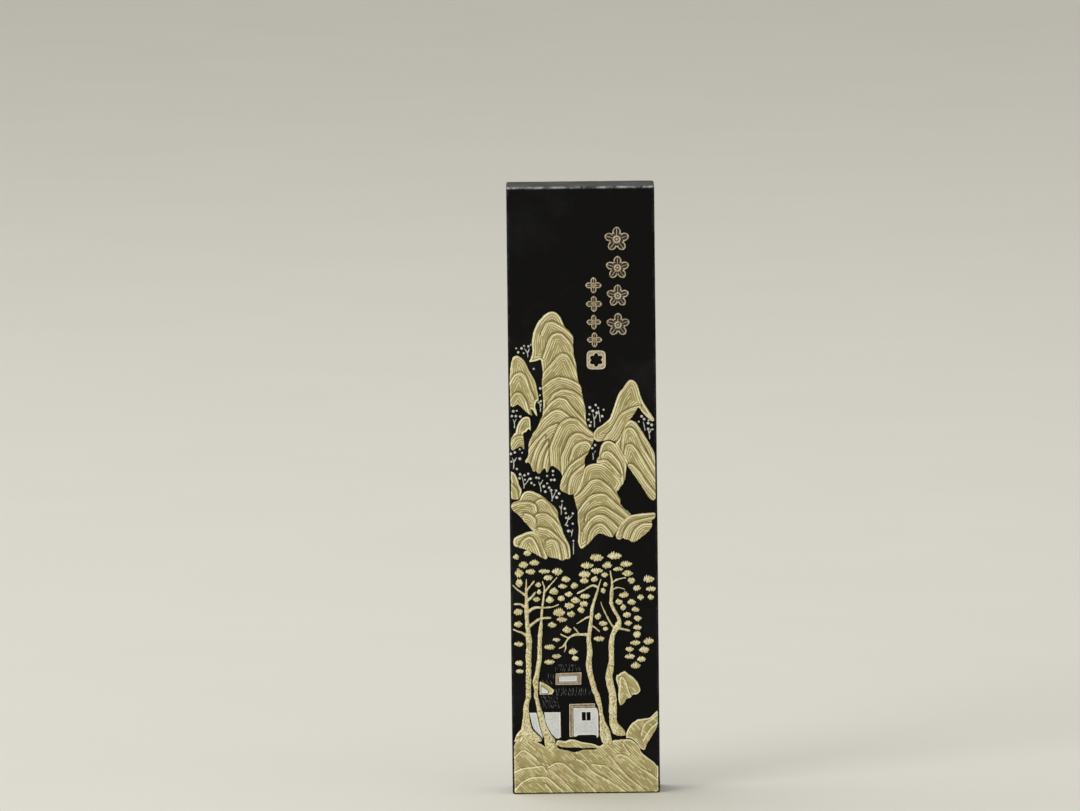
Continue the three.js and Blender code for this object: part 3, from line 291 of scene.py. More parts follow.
# Trees: rows of a trunk (height, left, right), then branches (line, first width, last width)
TREES = {
    "tree_2": {
        "rows": [
            9.3, -8.1, -6.1, 10.3, -8.4, -6.2, 11.3, -8.5, -6.3, 12, -8.7, -6.95, 13, -9, -7.5,
            14, -9.3, -8, 16, -9.6, -8.5, 17, -9.9, -8.8, 18, -9.95, -9.2, 20, -10.45, -9.6,
            21.5, -10.4, -9.65, 22.8, -10.75, -9.55, 24, -10.45, -9.4, 26, -10, -9.1, 28, -9.7, -8.75,
            31, -9.6, -8.8, 33, -9.5, -8.6, 35, -9.1, -8.6, 38, -8.85, -8.35, 40, -8.55, -8.15,
            42, -8.15, -7.85, 43.6, -8.6, -8.4,
        ],
        "branches": [
            ([-8.2, 41.2, -7.6, 42, -6.3, 43.5, -5.5, 44.4], 0.4, 0.15),
            ([-8.6, 38.2, -7.2, 38.25, -6.2, 38.4, -5.1, 38.9], 0.45, 0.2),
            ([-8.8, 36.05, -7.8, 36.1, -6.8, 36.1], 0.45, 0.35),
        ],
    },
    "tree_1": {
        "rows": [
            10.8, -14.5, -8.9, 11.5, -14.4, -9.1, 12, -14.2, -9.6, 12.6, -13.9, -10.3, 13.3, -13.2, -10.9,
            14, -13, -11.1, 16, -12.75, -11.5, 18, -12.6, -11.6, 20, -12.1, -11.1, 24, -12.1, -11,
            27, -12, -10.95, 28, -12.15, -10.95, 30, -11.9, -10.8, 32, -12, -10.7, 33, -11.9, -11,
            35, -12.1, -11.3, 38, -12.2, -11.4, 40, -12.1, -11.5, 42, -12, -11.6, 44.2, -11.85, -11.65,
        ],
        "branches": [
            ([-11.7, 32.3, -12.8, 33.2, -13.4, 33.3, -14.5, 33.8], 0.5, 0.25),
            ([-11.9, 38.2, -12.6, 38.8, -13.2, 39, -14.4, 38.95], 0.5, 0.3),
            ([-11.9, 40.7, -12.5, 41.2, -13.8, 42.1, -14.6, 43], 0.5, 0.2),
            ([-11.8, 41.6, -11.3, 42.3, -10.1, 43.7], 0.5, 0.2),
            ([-11.7, 39.6, -11, 40.1, -10.5, 40.6, -9.9, 41.5], 0.5, 0.4),
            ([-11.7, 37, -11, 37.7, -10.4, 38.15, -9.6, 38.3, -8.4, 38.2], 0.6, 0.5),
            ([-11.6, 34.1, -10.9, 34.7, -9.6, 35.7, -8.6, 36.05], 0.55, 0.5),
        ],
    },
    "tree_3": {
        "rows": [
            10.1, 3.5, 5.4, 10.9, 3.2, 5.3, 11.7, 2.9, 5.15, 12.3, 2.8, 5, 13.3, 2.85, 4.75, 14, 2.85, 4.4,
            15, 2.85, 3.85, 17, 2.75, 3.45, 18, 2.45, 3.35, 19, 2, 3.2, 20, 1.9, 3, 21, 1.3, 2.5,
            23, 0.9, 1.95, 25, 0.3, 1.5, 27, 0.15, 1.3, 29, 0.45, 1.55, 31, 0.35, 1.35, 32, 0.35, 1.2,
            34, 0.7, 1.5, 36, 1.05, 1.7, 38, 1.2, 1.9, 40, 1.9, 2.4, 41.7, 2.5, 2.95, 42.4, 2.7, 3.05,
            43.9, 3.3, 3.5,
        ],
        "branches": [
            ([2.8, 42.2, 2, 42.65, 1.3, 42.55, 0, 41.8, -1.5, 41], 0.5, 0.25),
            ([1.4, 36.2, 0.6, 36.2, -0.5, 35.5, -1.7, 34.8], 0.4, 0.25),
            ([1.3, 34.5, 2, 34.1, 3.1, 33.1], 0.35, 0.2),
            ([0.9, 32.4, 0.2, 32.7, -0.4, 32.6, -1.8, 32.75, -3.2, 32.1, -3.7, 31.4, -4.1, 30.4,
              -5.3, 29.8], 0.65, 0.3),
            ([-3.3, 32, -4.2, 32.3, -5, 32.8], 0.35, 0.2),
            ([-1.2, 32.8, -1.8, 33.7, -2.8, 34.6], 0.35, 0.15),
            ([-3.9, 30.6, -3.9, 29.8, -4.3, 28.8], 0.35, 0.15),
        ],
    },
    "tree_4": {
        "rows": [
            11.8, 6.4, 8, 12.2, 5.5, 8.05, 12.7, 5.35, 8, 13.3, 5.1, 7.6, 14, 4.85, 6.8, 14.8, 4.8, 6.35,
            18, 4.75, 6.35, 20, 4.85, 6.3, 22, 4.4, 5.9, 23.5, 4.05, 5.55, 24.2, 4.1, 5.5, 26, 4.6, 5.9,
            28, 4.9, 5.9, 30, 4.75, 5.9, 32, 5.05, 6, 33, 5.4, 6.4, 34, 5.8, 7.4, 35, 6.6, 7.5,
            36, 6.6, 7.3, 37, 5.95, 6.7, 38, 5.4, 6.1, 39, 5, 5.75, 41, 5.2, 5.85, 43, 5.45, 5.95,
            45.6, 5.2, 5.4,
        ],
        "branches": [
            ([6.2, 33.9, 5.6, 34.3, 4.4, 36.5, 3.6, 38.3, 3.3, 39.3], 0.4, 0.15),
            ([6.8, 33.9, 8, 33.6, 9.2, 33.3], 0.5, 0.3),
            ([5.7, 43.2, 6.4, 43.7, 7.9, 44.15, 8.5, 44.1], 0.35, 0.2),
            ([5.6, 41.7, 6.5, 42.15, 7.1, 42.2, 8.2, 41.8], 0.4, 0.15),
            ([6.4, 34.2, 6.5, 35], 0.5, 0.4),
        ],
    },
}

HOUSE = {
    "window_pane": {
        "outline": [-5.4, 23, -1.7, 23, -1.65, 24.15, -5.3, 24.1],
        "finish": "white",
    },
    "wall_main": {
        "outline": [
            -2.5, 11.7, -2.5, 17.6, 2.2, 17.6, 2.5, 17, 2.6, 16, 2.6, 11.8, 2.3, 11.3, 2.15, 11.9,
            1.4, 12.05, -1.5, 12, -2, 11.7,
        ],
        "openings": [
            [-0.75, 15, 0.02, 15, 0.02, 16.7, -0.75, 16.7],
            [0.22, 15, 1, 15, 1, 16.7, 0.22, 16.7],
        ],
        "finish": "white",
    },
    "wall_side": {
        "outline": [
            -8.4, 16.75, -5.1, 16.75, -5.05, 11.6, -5.6, 11.3, -6.1, 11.4, -6.9, 12.2, -7.4, 13.1, -7.9, 14,
            -8.2, 15,
        ],
        "finish": "white",
    },
    "wall_back": {
        "outline": [
            -11.45, 16.7, -10, 16.7, -9.8, 16, -9.6, 15, -9.4, 14, -9.1, 13, -8.8, 12, -8.75, 11.3,
            -9.3, 12, -10, 12.7, -10.6, 13.4, -10.9, 14.2, -11.3, 16,
        ],
        "finish": "white",
    },
    "wall_frame": {
        "outline": [-3.35, 11.65, -2.6, 11.65, -2.6, 17.7, 2, 17.7, 1.9, 18.5, -3.3, 18.4],
        "finish": "copper",
    },
    "window_frame": {
        "outline": [-6.05, 22.35, -0.8, 22.35, -0.75, 24.9, -6, 24.7],
        "openings": [
            [-5.45, 22.95, -1.65, 22.95, -1.6, 24.2, -5.35, 24.15],
        ],
        "finish": "copper",
    },
    "gable_light": {
        "outline": [-8.95, 20.65, -7.55, 20.65, -7.6, 21.2, -8.5, 21.9, -8.95, 22.1],
        "finish": "white",
    },
    "gable": {
        "outline": [-9.3, 20.4, -6.75, 20.4, -6.3, 21.3, -6.8, 21.7, -7.6, 22.3, -9.1, 23.1, -9.3, 23],
        "finish": "gilt",
    },
}

# Silver saplings: forked stems, then round buds as x, z
SAPLINGS = [
    {
        "stems": [[-10.95, 89.3, -10.95, 90.2, -11.7, 91.3], [-10.95, 90.2, -10.6, 91.2]],
        "buds": [-11.7, 91.7, -13.3, 91.2, -12.9, 90.4, -12.2, 91.2, -11.8, 90.2, -10.8, 91.6, -10.2, 91.9,
                 -9.8, 87],
    },
    {
        "stems": [[-8.5, 78.2, -8.5, 79.2, -8.7, 80.2], [-8.5, 79.2, -8.3, 79.9]],
        "buds": [-8.5, 83, -8.6, 81.6, -8.9, 80.2, -8.4, 80.4],
    },
    {
        "stems": [[-13.8, 74.9, -13.8, 76.1, -14.1, 76.8], [-13.8, 76.1, -13.4, 76.9]],
        "buds": [-14.3, 77.4, -13.5, 77.4, -12.6, 77.3, -14, 78.4, -13.3, 78.5],
    },
    {
        "stems": [[-14.1, 66.6, -14, 68, -14.4, 69], [-14, 68, -13.4, 69]],
        "buds": [-14.6, 69.7, -13.8, 70, -12.8, 70.6, -12.3, 69.9, -12.8, 68.7, -14.5, 68.1],
    },
    {
        "stems": [[-12, 62.6, -12, 63.2, -12.2, 64.3, -12.5, 65.3], [-12, 63.2, -11.3, 64, -10.9, 64.8]],
        "buds": [-13.4, 66.6, -12.8, 65.5, -11.9, 65.3, -11.1, 65.6, -12.9, 64.7, -11.8, 64.4, -10.7, 64.6,
                 -10.5, 63.7, -9.9, 63.3, -9.5, 64.8],
    },
    {
        "stems": [[-8.6, 61.8, -8.6, 62.5, -8.8, 63.3, -9.1, 64.1], [-8.8, 63.3, -8.4, 63.9, -8.1, 64.4]],
        "buds": [-8, 63, -7.3, 63.6, -7.7, 61.9, -7.3, 65.1, -6.5, 64.3, -5.8, 64.3, -6.1, 65.3, -6.1, 66.1,
                 -9, 64.7],
    },
    {
        "stems": [[-6.4, 59.9, -6.3, 60.5, -6.4, 61.5, -6.6, 62.3], [-6.3, 60.5, -5.9, 61.2, -5.6, 61.9]],
        "buds": [-6.9, 62.7, -6.5, 62.2, -5.5, 62.1, -4.9, 61.5, -5.4, 60.7],
    },
    {
        "stems": [[-4.5, 57.1, -4.5, 58.5, -4.3, 59.6], [-4.5, 58.3, -4.9, 59]],
        "buds": [-4.3, 59.9, -3.8, 58.4, -3.6, 57.5, -3.5, 56.5],
    },
    {
        "stems": [[-3.8, 54.9, -3.5, 55.3, -3.2, 56, -3, 57], [-3.2, 56, -2.6, 56.6, -2.2, 57]],
        "buds": [-3.3, 54.9, -2.2, 57.4, -2.2, 55.3],
    },
    {
        "stems": [[-2.5, 52.7, -2.4, 53.4, -2.2, 54.2], [-2.4, 53.4, -2.8, 54],
                  [-2.1, 49, -2.15, 50.4, -2.1, 51.5]],
        "buds": [-3.1, 53.8, -2.1, 51.8],
    },
    {
        "stems": [[2.1, 68.3, 2.1, 69.4, 1.7, 70], [2.1, 69.4, 2.7, 70.4]],
        "buds": [1.9, 70.7, 2.5, 71.3],
    },
    {
        "stems": [[2.4, 74.9, 2.4, 76.5, 2.1, 77.8], [2.4, 76.5, 2.9, 77.6],
                  [3.6, 76, 3.45, 77.4, 3.2, 78.6]],
        "buds": [1.2, 76.5, 1.7, 76, 1.4, 77.6, 1.5, 79, 2.1, 78.3, 2.7, 79.5, 2.9, 77.9, 3.2, 78.9,
                 4, 77.2, 4.3, 78.5, 1.5, 75.3],
    },
    {
        "stems": [[13.6, 72.4, 13.5, 73.6, 13.1, 74.8], [13.5, 73.6, 14, 74.6], [12.7, 74.1, 12.3, 76.1]],
        "buds": [12, 77.1, 12.5, 76.5, 13.3, 75.7, 14, 75.3, 13.3, 74.5, 14.2, 74.4, 13.4, 76.3, 11.4, 76],
    },
]

# Foliage pads: centre x, centre z, width, height
PADS = [
    -13.8, 48.6, 1.4, 0.9, -11.5, 49.35, 1.7, 0.8, -12.3, 47, 2, 1.2, -10.1, 47.4, 2.1, 1,
    -13.2, 45.3, 1.9, 1.4, -10.9, 45.6, 2.1, 1.1, -8.1, 45.6, 2.3, 0.9, -5.4, 45.5, 2.3, 1.2,
    -7.3, 44.3, 1.9, 1, -13.2, 43.2, 1.6, 1.3, -3.7, 43.9, 1.9, 1, -4.4, 42.5, 2, 0.9, -9.4, 42.8, 1.3, 0.8,
    -9.2, 41.4, 1, 0.9, -6.2, 41.4, 1.9, 1.2, -2, 42.6, 1.5, 1.1, -9.7, 39.9, 1.6, 0.9, -7, 39.7, 1.7, 1.1,
    -4.7, 40, 1.4, 1, -3.2, 40.9, 1.6, 0.9, -1.8, 39.6, 2, 1, -3.1, 38.5, 2.1, 1, -13.5, 37.3, 1.8, 1.2,
    -5.2, 37.1, 2.5, 1.4, -2.8, 36.8, 1.7, 1.1, -4.6, 35.7, 2.3, 0.9, -0.7, 37.6, 1.5, 1.1,
    -13.5, 34.8, 1.7, 1, -6.6, 34.6, 1.9, 0.9, -3.6, 33.6, 1.9, 1.1, -5.8, 31.6, 1.6, 0.8,
    -7.1, 30.1, 2.3, 0.9, -13.4, 30.8, 1.9, 0.9, -2.4, 29.1, 1.9, 1, -5.8, 28.2, 1.9, 0.8,
    -2, 27.7, 1.4, 0.8, -7.3, 27, 2.2, 0.9, -13.4, 26.9, 1.7, 1, -13.3, 25.2, 1.5, 0.9, 2.6, 48.3, 2.8, 1.3,
    6.2, 48.6, 3.1, 1.2, 0.6, 46.7, 2.7, 1.1, 4.7, 46.7, 2.1, 1.1, 8.5, 46.9, 2.5, 1, 2.6, 45.6, 2.5, 1,
    6.9, 45.9, 2.2, 0.9, 0.1, 44.9, 2.5, 1.2, 4.2, 44.8, 1.5, 0.8, 8.8, 45, 2.4, 0.9, 0, 43.6, 1.8, 1,
    2.1, 43.9, 1.4, 1, 4.3, 42.8, 1, 0.8, 3.8, 41.5, 1, 0.9, 0.2, 40.4, 2.1, 0.9, -0.1, 38.9, 1.7, 1,
    2.7, 36.3, 1.4, 1.1, 3.7, 34.8, 1.8, 0.9, 4.2, 33.7, 1.2, 0.8, 2.9, 31.7, 2.2, 1, 9.6, 43.6, 1.5, 1.1,
    13.1, 43.8, 2.3, 1.2, 10.7, 42, 1.7, 1, 13.5, 41.8, 2, 0.9, 8, 40.6, 2, 1, 11.4, 40.1, 1.5, 0.9,
    13.5, 40.1, 1.3, 1, 7, 39.2, 1.5, 0.9, 9.6, 39.1, 1.8, 1, 7.8, 38, 1.2, 1, 10.4, 37.6, 1.6, 0.9,
    8.6, 36.5, 1.7, 1, 10.8, 35.8, 1.7, 1, 8.8, 34.8, 1.7, 0.9, 10.7, 33.9, 1.8, 0.9, 10.6, 32.5, 1.6, 1.2,
    12.9, 31.1, 2.2, 1.2, 10.2, 30.8, 2.1, 0.9, 9.1, 29.5, 1.7, 0.9, 12, 29.3, 2.1, 1.1, 9.1, 28, 2.2, 0.9,
    11.5, 27.4, 1.9, 1, 10.3, 26.1, 2, 1.1,
]

# Flowers: petals, how deep the notches between them are, then centre x, centre z and radius of each
FLOWERS = {
    "blossom": (5, 0.42, [(7.3, 113.2, 2.6), (7.4, 107.4, 2.45), (7.4, 101.7, 2.35), (7.4, 95.8, 2.45)]),
    "quatrefoil": (4, 0.5, [(2.5, 103.9, 1.65), (2.55, 100.1, 1.65), (2.5, 96.4, 1.5), (2.6, 92.8, 1.55)]),
}
TILE = (2.9, 88.7, 1.95)  # centre x, centre z, half width
TILE_FLOWER = (6, 0.35)  # petals and notches of the opening in the tile
# Rows of thatch: left, right, low, high, lean in degrees
THATCH = [
    (-9.0, -5.3, 17.5, 18.5, -20),
    (-9.2, -5.4, 18.4, 19.4, -18),
    (-9.0, -5.5, 19.3, 20.3, -22),
    (-6.0, 1.4, 20.1, 20.9, 6),
    (-5.8, 0.6, 20.8, 21.7, -10),
    (-8.4, -6.4, 22.4, 23.4, -25),
    (-7.6, -6.3, 23.6, 24.6, -10),
    (-6.0, -0.8, 25.1, 26.0, 8),
    (-5.4, -1.6, 25.9, 26.6, -14),
]
THATCH_GAP = 0.5  # between the strokes of a row
THATCH_BUTT, THATCH_TIP = 0.075, 0.045  # radii of a stroke's two ends

VIEW_AIM = (-8.6, -5.6, 79.5)  # where the camera looks, in millimetres
LIGHTS = {"key": ((-0.5, 0.35, 1.5), 1.2), "side": ((-1.1, -1.1, 0.7), 0.8)}  # place and width, in metres
LIGHT_AIM = Vector((0, 0, 0.06))  # where the lights look, in metres
FLOOR_RADIUS = 6  # in metres
FIELD_Y = CAD_BOX[0].y + RELIEF


# Sizes and colours that a user would change


def length(name, description, millimetres):
    return bpy.props.FloatProperty(
        name=name, description=description, default=millimetres * MM, min=0, unit="LENGTH", precision=5
    )


def colour(name, description, red, green, blue):
    return bpy.props.FloatVectorProperty(
        name=name, description=description, default=(red, green, blue), min=0, max=1, subtype="COLOR"
    )


class InkStickSizes(bpy.types.PropertyGroup):
    """Sizes of the cake and of the relief on it."""

    edge_round: length("Edge round", "Radius of the cake's rounded edges", 0.35)
    chip: length("Chips", "Deepest chip out of the cake's edges", 0.05)
    mould_cell: length("Mould cell", "Length of the cake's mesh cells", 1.2)
    rock_cell: length("Rock cell", "Length of the mesh cells on rocks", 0.1)
    fine_cell: length("Fine cell", "Length of the mesh cells on small areas", 0.075)
    stroke_gap: length("Stroke gap", "Distance between brush strokes on the mountains", 0.44)
    stroke_rise: length("Stroke rise", "How far a brush stroke stands out", 0.075)
    grass_gap: length("Grass gap", "Distance between brush strokes on the ground", 0.34)
    grass_rise: length("Grass rise", "How far a ground stroke stands out", 0.035)
    stem_width: length("Stem width", "Width of a sapling's stem", 0.24)
    bud_radius: length("Bud radius", "Radius of a sapling's round buds", 0.27)


class InkStickColours(bpy.types.PropertyGroup):
    """Colours of the ink, of the paints with their painted shade and highlights, and of the floor."""

    ink: colour("Ink", "Body of the cake", 0.003, 0.0028, 0.0024)
    worn_ink: colour("Worn ink", "Rubbed edges of the cake", 0.2, 0.2, 0.21)
    # Painted highlight along the top front edge, where the rounded edge catches the light overhead
    edge_highlight: colour("Scuff", "Bright scuffs along the top front edge", 0.6, 0.62, 0.68)
    # The gilt in grooves is painted shade, and the gilt on strokes a painted highlight
    gilt_groove_shade: colour("Gilt groove", "Gilt paint deep between strokes", 0.14, 0.11, 0.042)
    gilt: colour("Gilt", "Gilt paint on the slopes", 0.58, 0.5, 0.215)
    gilt_highlight: colour("Gilt high", "Gilt paint on the strokes", 1, 0.94, 0.64)
    gilt_blush: colour("Gilt blush", "Coppery patches in the gilt paint", 0.75, 0.53, 0.34)
    # The coppery colour between raised lines is painted shade, and on raised lines a painted highlight
    copper_groove_shade: colour("Copper groove", "Coppery paint between raised lines", 0.13, 0.09, 0.05)
    copper: colour("Copper", "Coppery paint on frames and flowers", 0.45, 0.36, 0.23)
    copper_highlight: colour("Copper high", "Coppery paint on raised lines", 0.88, 0.8, 0.62)
    white_shade: colour("White shade", "White paint in its hollows", 0.3, 0.3, 0.3)
    white: colour("White", "White paint on the walls", 0.7, 0.71, 0.72)
    # The white along the raised rims is a painted highlight
    white_highlight: colour("White high", "White paint along its edges", 0.95, 0.95, 0.92)
    white_blush: colour("White blush", "Lilac cast in the white paint", 0.55, 0.52, 0.66)
    silver_shade: colour("Silver shade", "Silver paint in its hollows", 0.12, 0.12, 0.11)
    silver: colour("Silver", "Silver paint on stems", 0.4, 0.4, 0.36)
    # The silver on the crowns of stems and buds is a painted highlight
    silver_highlight: colour("Silver high", "Silver paint on buds", 0.8, 0.8, 0.76)
    floor: colour("Floor", "Floor under the stick", 0.8, 0.79, 0.73)
    backdrop: colour("Backdrop", "Light from all round", 0.54, 0.53, 0.485)


class InkStickView(bpy.types.PropertyGroup):
    """Where the camera stands and how the lights are set."""

    distance: bpy.props.FloatProperty(
        name="Distance", description="From the camera to the stick", default=2.5, unit="LENGTH"
    )
    elevation: bpy.props.FloatProperty(
        name="Elevation", description="Camera above the stick", default=math.radians(6.4), unit="ROTATION"
    )
    roll: bpy.props.FloatProperty(
        name="Roll", description="Tilt of the camera", default=math.radians(-0.62), unit="ROTATION"
    )
    lens: bpy.props.FloatProperty(
        name="Lens", description="Focal length", default=411, unit="CAMERA"
    )
    key_power: bpy.props.FloatProperty(
        name="Key light", description="Power of the large light overhead", default=8, unit="POWER"
    )
    side_power: bpy.props.FloatProperty(
        name="Side light", description="Power of the light at the front left", default=8.5, unit="POWER"
    )


# Measuring in the plane of the front


def line_of(flat):
    """A flat list x, z, x, z, ... as rows of points."""
    return np.array(flat, float).reshape(-1, 2)


def closed(line):
    """The line with its first point repeated at its end."""
    return np.vstack([line, line[:1]])


def soften(line, rounds=2, most=0.3):
    """The line with its corners cut and its two ends kept."""
    for _ in range(rounds):
        step = np.diff(line, axis=0)
        span = np.hypot(step[:, :1], step[:, 1:])
        cut = step * np.minimum(0.25, most / np.maximum(span, 1e-6))
        pairs = np.stack([line[:-1] + cut, line[1:] - cut], axis=1).reshape(-1, 2)
        line = np.vstack([line[:1], pairs, line[-1:]])
    return line


def ramp(low, high, value):
    """0 below low, 1 above high, and smooth between them."""
    share = np.clip((value - low) / (high - low), 0, 1)
    return share * share * (3 - 2 * share)


def bell(value, centre, width):
    """1 at the centre, falling to nothing on both sides."""
    return np.exp(-(((value - centre) / width) ** 2))


def grain(u, v, seed=0):
    """Smooth random hills from 0 to 1, one unit apart."""
    u, v = u + 31.7 * seed, v + 17.3 * seed
    column, row = np.floor(u).astype(int), np.floor(v).astype(int)
    across, up = ramp(0, 1, u - column), ramp(0, 1, v - row)
    size = len(LATTICE)
    left, right = column % size, (column + 1) % size
    under, over = row % size, (row + 1) % size
    low = LATTICE[left, under] * (1 - across) + LATTICE[right, under] * across
    high = LATTICE[left, over] * (1 - across) + LATTICE[right, over] * across
    return low * (1 - up) + high * up


def slices(count, width):
    """Runs of row numbers, each short enough to measure against a line in one go."""
    return np.array_split(np.arange(count), 1 + count * width // BATCH)


def from_line(x, z, line):
    """How far places are from a line, and how far along it the nearest point of it lies."""
    start, step = line[:-1], np.diff(line, axis=0)
    span = np.maximum(np.hypot(step[:, 0], step[:, 1]), 1e-9)
    ahead = step / span[:, None]
    run = np.concatenate([[0], np.cumsum(span)])
    gap, along = np.empty(len(x)), np.empty(len(x))
    for rows in slices(len(x), len(span)):
        dx, dz = x[rows, None] - start[:, 0], z[rows, None] - start[:, 1]
        reach = np.clip(dx * ahead[:, 0] + dz * ahead[:, 1], 0, span)
        away = (dx - reach * ahead[:, 0]) ** 2 + (dz - reach * ahead[:, 1]) ** 2
        best = away.argmin(axis=1)
        here = np.arange(len(rows))
        gap[rows], along[rows] = np.sqrt(away[here, best]), run[best] + reach[here, best]
    return gap, along


def past_ends(x, z, along, line):
    """How far places lie beyond the two ends of a line they are nearest to."""
    past, last = np.zeros(len(x)), along.max(initial=0)
    for end, before, at_end in ((0, 1, along <= 0), (-1, -2, along >= last)):
        out = (line[end] - line[before]) / np.hypot(*(line[end] - line[before]))
        beyond = (x - line[end][0]) * out[0] + (z - line[end][1]) * out[1]
        past = np.where(at_end, np.maximum(beyond, 0), past)
    return past


def is_inside(x, z, loop):
    """Whether places are inside a closed line."""
    (ax, az), (bx, bz) = loop[:-1].T, loop[1:].T
    slant = (bx - ax) / np.where(bz == az, 1, bz - az)
    inside = np.empty(len(x), bool)
    for rows in slices(len(x), len(ax)):
        up = z[rows, None]
        crossed = ((az > up) != (bz > up)) & (x[rows, None] < ax + (up - az) * slant)
        inside[rows] = crossed.sum(axis=1) % 2 == 1
    return inside


def depth_in(x, z, loop):
    """How deep places are inside a closed line; negative outside it."""
    gap = from_line(x, z, loop)[0]
    return np.where(is_inside(x, z, loop), gap, -gap)


class Area:
    """A painted area: outlines, openings, round buds, and the areas in front with a gap to them."""

    def __init__(self, outlines, openings=(), buds=(), in_front=(), ragged=0.06, rounded=True, gap=0.03):
        trim = soften if rounded else np.asarray
        self.outlines = [trim(closed(line)) for line in outlines]
        self.openings = [trim(closed(line)) for line in openings]
        self.buds = list(buds)
        self.ragged, self.gap = ragged, gap
        corners = [*self.outlines, *([[x - r, z - r], [x + r, z + r]] for x, z, r in self.buds)]
        self.low = np.min([np.min(line, axis=0) for line in corners], axis=0)
        self.high = np.max([np.max(line, axis=0) for line in corners], axis=0)
        self.in_front = [other for other in in_front if self.meets(other)]

    def meets(self, other):
        """Whether the two areas' boxes come near each other."""
        return bool(np.all(self.low < other.high + NEAR) and np.all(other.low < self.high + NEAR))

    def fill(self, x, z):
        """Depth inside the filled outlines, before anything is kept clear."""
        depth = np.full(x.shape, -np.inf)
        for loop in self.outlines:
            depth = np.maximum(depth, depth_in(x, z, loop))
        for bud_x, bud_z, radius in self.buds:
            depth = np.maximum(depth, radius - np.hypot(x - bud_x, z - bud_z))
        for loop in self.openings:
            depth = np.minimum(depth, -depth_in(x, z, loop))
        return depth

    def depth(self, x, z):
        """Depth inside the area's own painted edge; negative outside it."""
        ragged = self.ragged * (2 * grain(x / 0.6, z / 0.6, 3) - 1)
        depth = self.fill(x, z) + ragged
        for other in self.in_front:
            depth = np.minimum(depth, -other.fill(x, z) - self.gap)
        return depth


# Building a painted area


def grid_over(bm, low, high, cell):
    """A fine upright grid over a box on the front, facing forward."""
    width, height = high - low + 2 * cell
    made = bmesh.ops.create_grid(
        bm, x_segments=math.ceil(width / cell), y_segments=math.ceil(height / cell), size=0.5
    )["verts"]
    bmesh.ops.scale(bm, verts=made, vec=(width * MM, height * MM, 1))
    bmesh.ops.rotate(bm, verts=made, cent=(0, 0, 0), matrix=Matrix.Rotation(math.pi / 2, 3, "X"))
    middle = (low + high) / 2 * MM
    bmesh.ops.translate(bm, verts=made, vec=(middle[0], FIELD_Y, middle[1]))
    return made


def places(verts):
    """The x and z of vertices, in millimetres."""
    return np.array([(vert.co.x / MM, vert.co.z / MM) for vert in verts]).T


def pulled_to_edge(area, x, z, cell):
    """Places moved onto the area's edge, straight across it."""
    probe = 0.2 * cell
    for _ in range(3):
        depth = area.depth(x, z)
        slope_x = (area.depth(x + probe, z) - area.depth(x - probe, z)) / (2 * probe)
        slope_z = (area.depth(x, z + probe) - area.depth(x, z - probe)) / (2 * probe)
        step = np.clip(depth, -cell, cell) / np.maximum(slope_x**2 + slope_z**2, 0.4)
        x, z = x - step * slope_x, z - step * slope_z
    return x, z


def in_order(parts):
    """Each of a mesh's parts once, in the order they are met, so that every run gives the same mesh."""
    return list(dict.fromkeys(parts))


def unpinched(bm, verts):
    """The vertices left once no place of a trimmed grid touches the rest by a corner alone."""
    while True:
        verts = [vert for vert in verts if vert.is_valid and vert.link_faces]
        pinched = [vert for vert in verts if sum(edge.is_boundary for edge in vert.link_edges) > 2]
        if not pinched:
            return verts
        faces = in_order(face for vert in pinched for face in vert.link_faces)
        bmesh.ops.delete(bm, geom=faces, context="FACES")


def add_relief(bm, area, surface, cell):
    """Adds a closed painted area: a grid trimmed to its edge, raised, and rooted in the cake."""
    painted_light_layer = bm.verts.layers.float["light"]
    paint_layer = bm.verts.layers.float["paint"]
    verts = grid_over(bm, area.low, area.high, cell)
    kept = area.depth(*places(verts)) > -OVERHANG * cell
    for vert, keep in zip(verts, kept):
        vert.tag = bool(keep)
    faces = in_order(face for vert in verts for face in vert.link_faces)
    spare = [face for face in faces if not all(vert.tag for vert in face.verts)]
    bmesh.ops.delete(bm, geom=spare, context="FACES")
    verts = unpinched(bm, verts)
    rim = [vert for vert in verts if vert.is_boundary]
    for vert, rim_x, rim_z in zip(rim, *pulled_to_edge(area, *places(rim), cell)):
        vert.co.x, vert.co.z = rim_x * MM, rim_z * MM
    x, z = places(verts)
    # The surface's lightness is painted highlight on raised parts and painted shade in hollows
    height, light, paint = surface(x, z, np.maximum(area.fill(x, z), 0))
    for vert, up, pale, painted in zip(verts, height, light, paint):
        vert.co.y = FIELD_Y - up * MM
        vert[painted_light_layer], vert[paint_layer] = pale, painted
    edges = in_order(edge for vert in rim for edge in vert.link_edges if edge.is_boundary)
    made = bmesh.ops.extrude_edge_only(bm, edges=edges)["geom"]
    foot = {item for item in made if isinstance(item, bmesh.types.BMVert)}
    for vert in foot:
        vert.co.y = FIELD_Y + ROOT
        vert[paint_layer] = 0
    rim = [item for item in made if isinstance(item, bmesh.types.BMEdge) and set(item.verts) <= foot]
    bmesh.ops.triangle_fill(bm, edges=rim, use_beauty=False, normal=(0, 1, 0))


def new_mesh():
    """An empty mesh with layers for the lightness of the paint, which carries painted highlight and shade,
    and for how covered it is.
    """
    bm = bmesh.new()
    bm.verts.layers.float.new("light")
    bm.verts.layers.float.new("paint")
    return bm


def finish_piece(bm, name, material, replaced=()):
    """Turns a mesh into a shaded piece that rides on the stick."""
    bmesh.ops.recalc_face_normals(bm, faces=bm.faces)
    mesh = bpy.data.meshes.new(name)
    bm.to_mesh(mesh)
    bm.free()
    mesh.shade_smooth()
    mesh.materials.append(material)
    piece = bpy.data.objects.new(name, mesh)
    bpy.context.scene.collection.objects.link(piece)
    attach(piece, "root")
    if replaced:
        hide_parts(*replaced)
    return piece


# Surfaces: each gives height above the field, lightness with painted highlights and shade, and how well
# paint covers


def shoulder(depth, width=0.22):
    """A moulded edge: under half height at the very edge, full height a little inside."""
    return 0.45 + 0.55 * np.sqrt(1 - (1 - np.clip(depth / width, 0, 1)) ** 2)


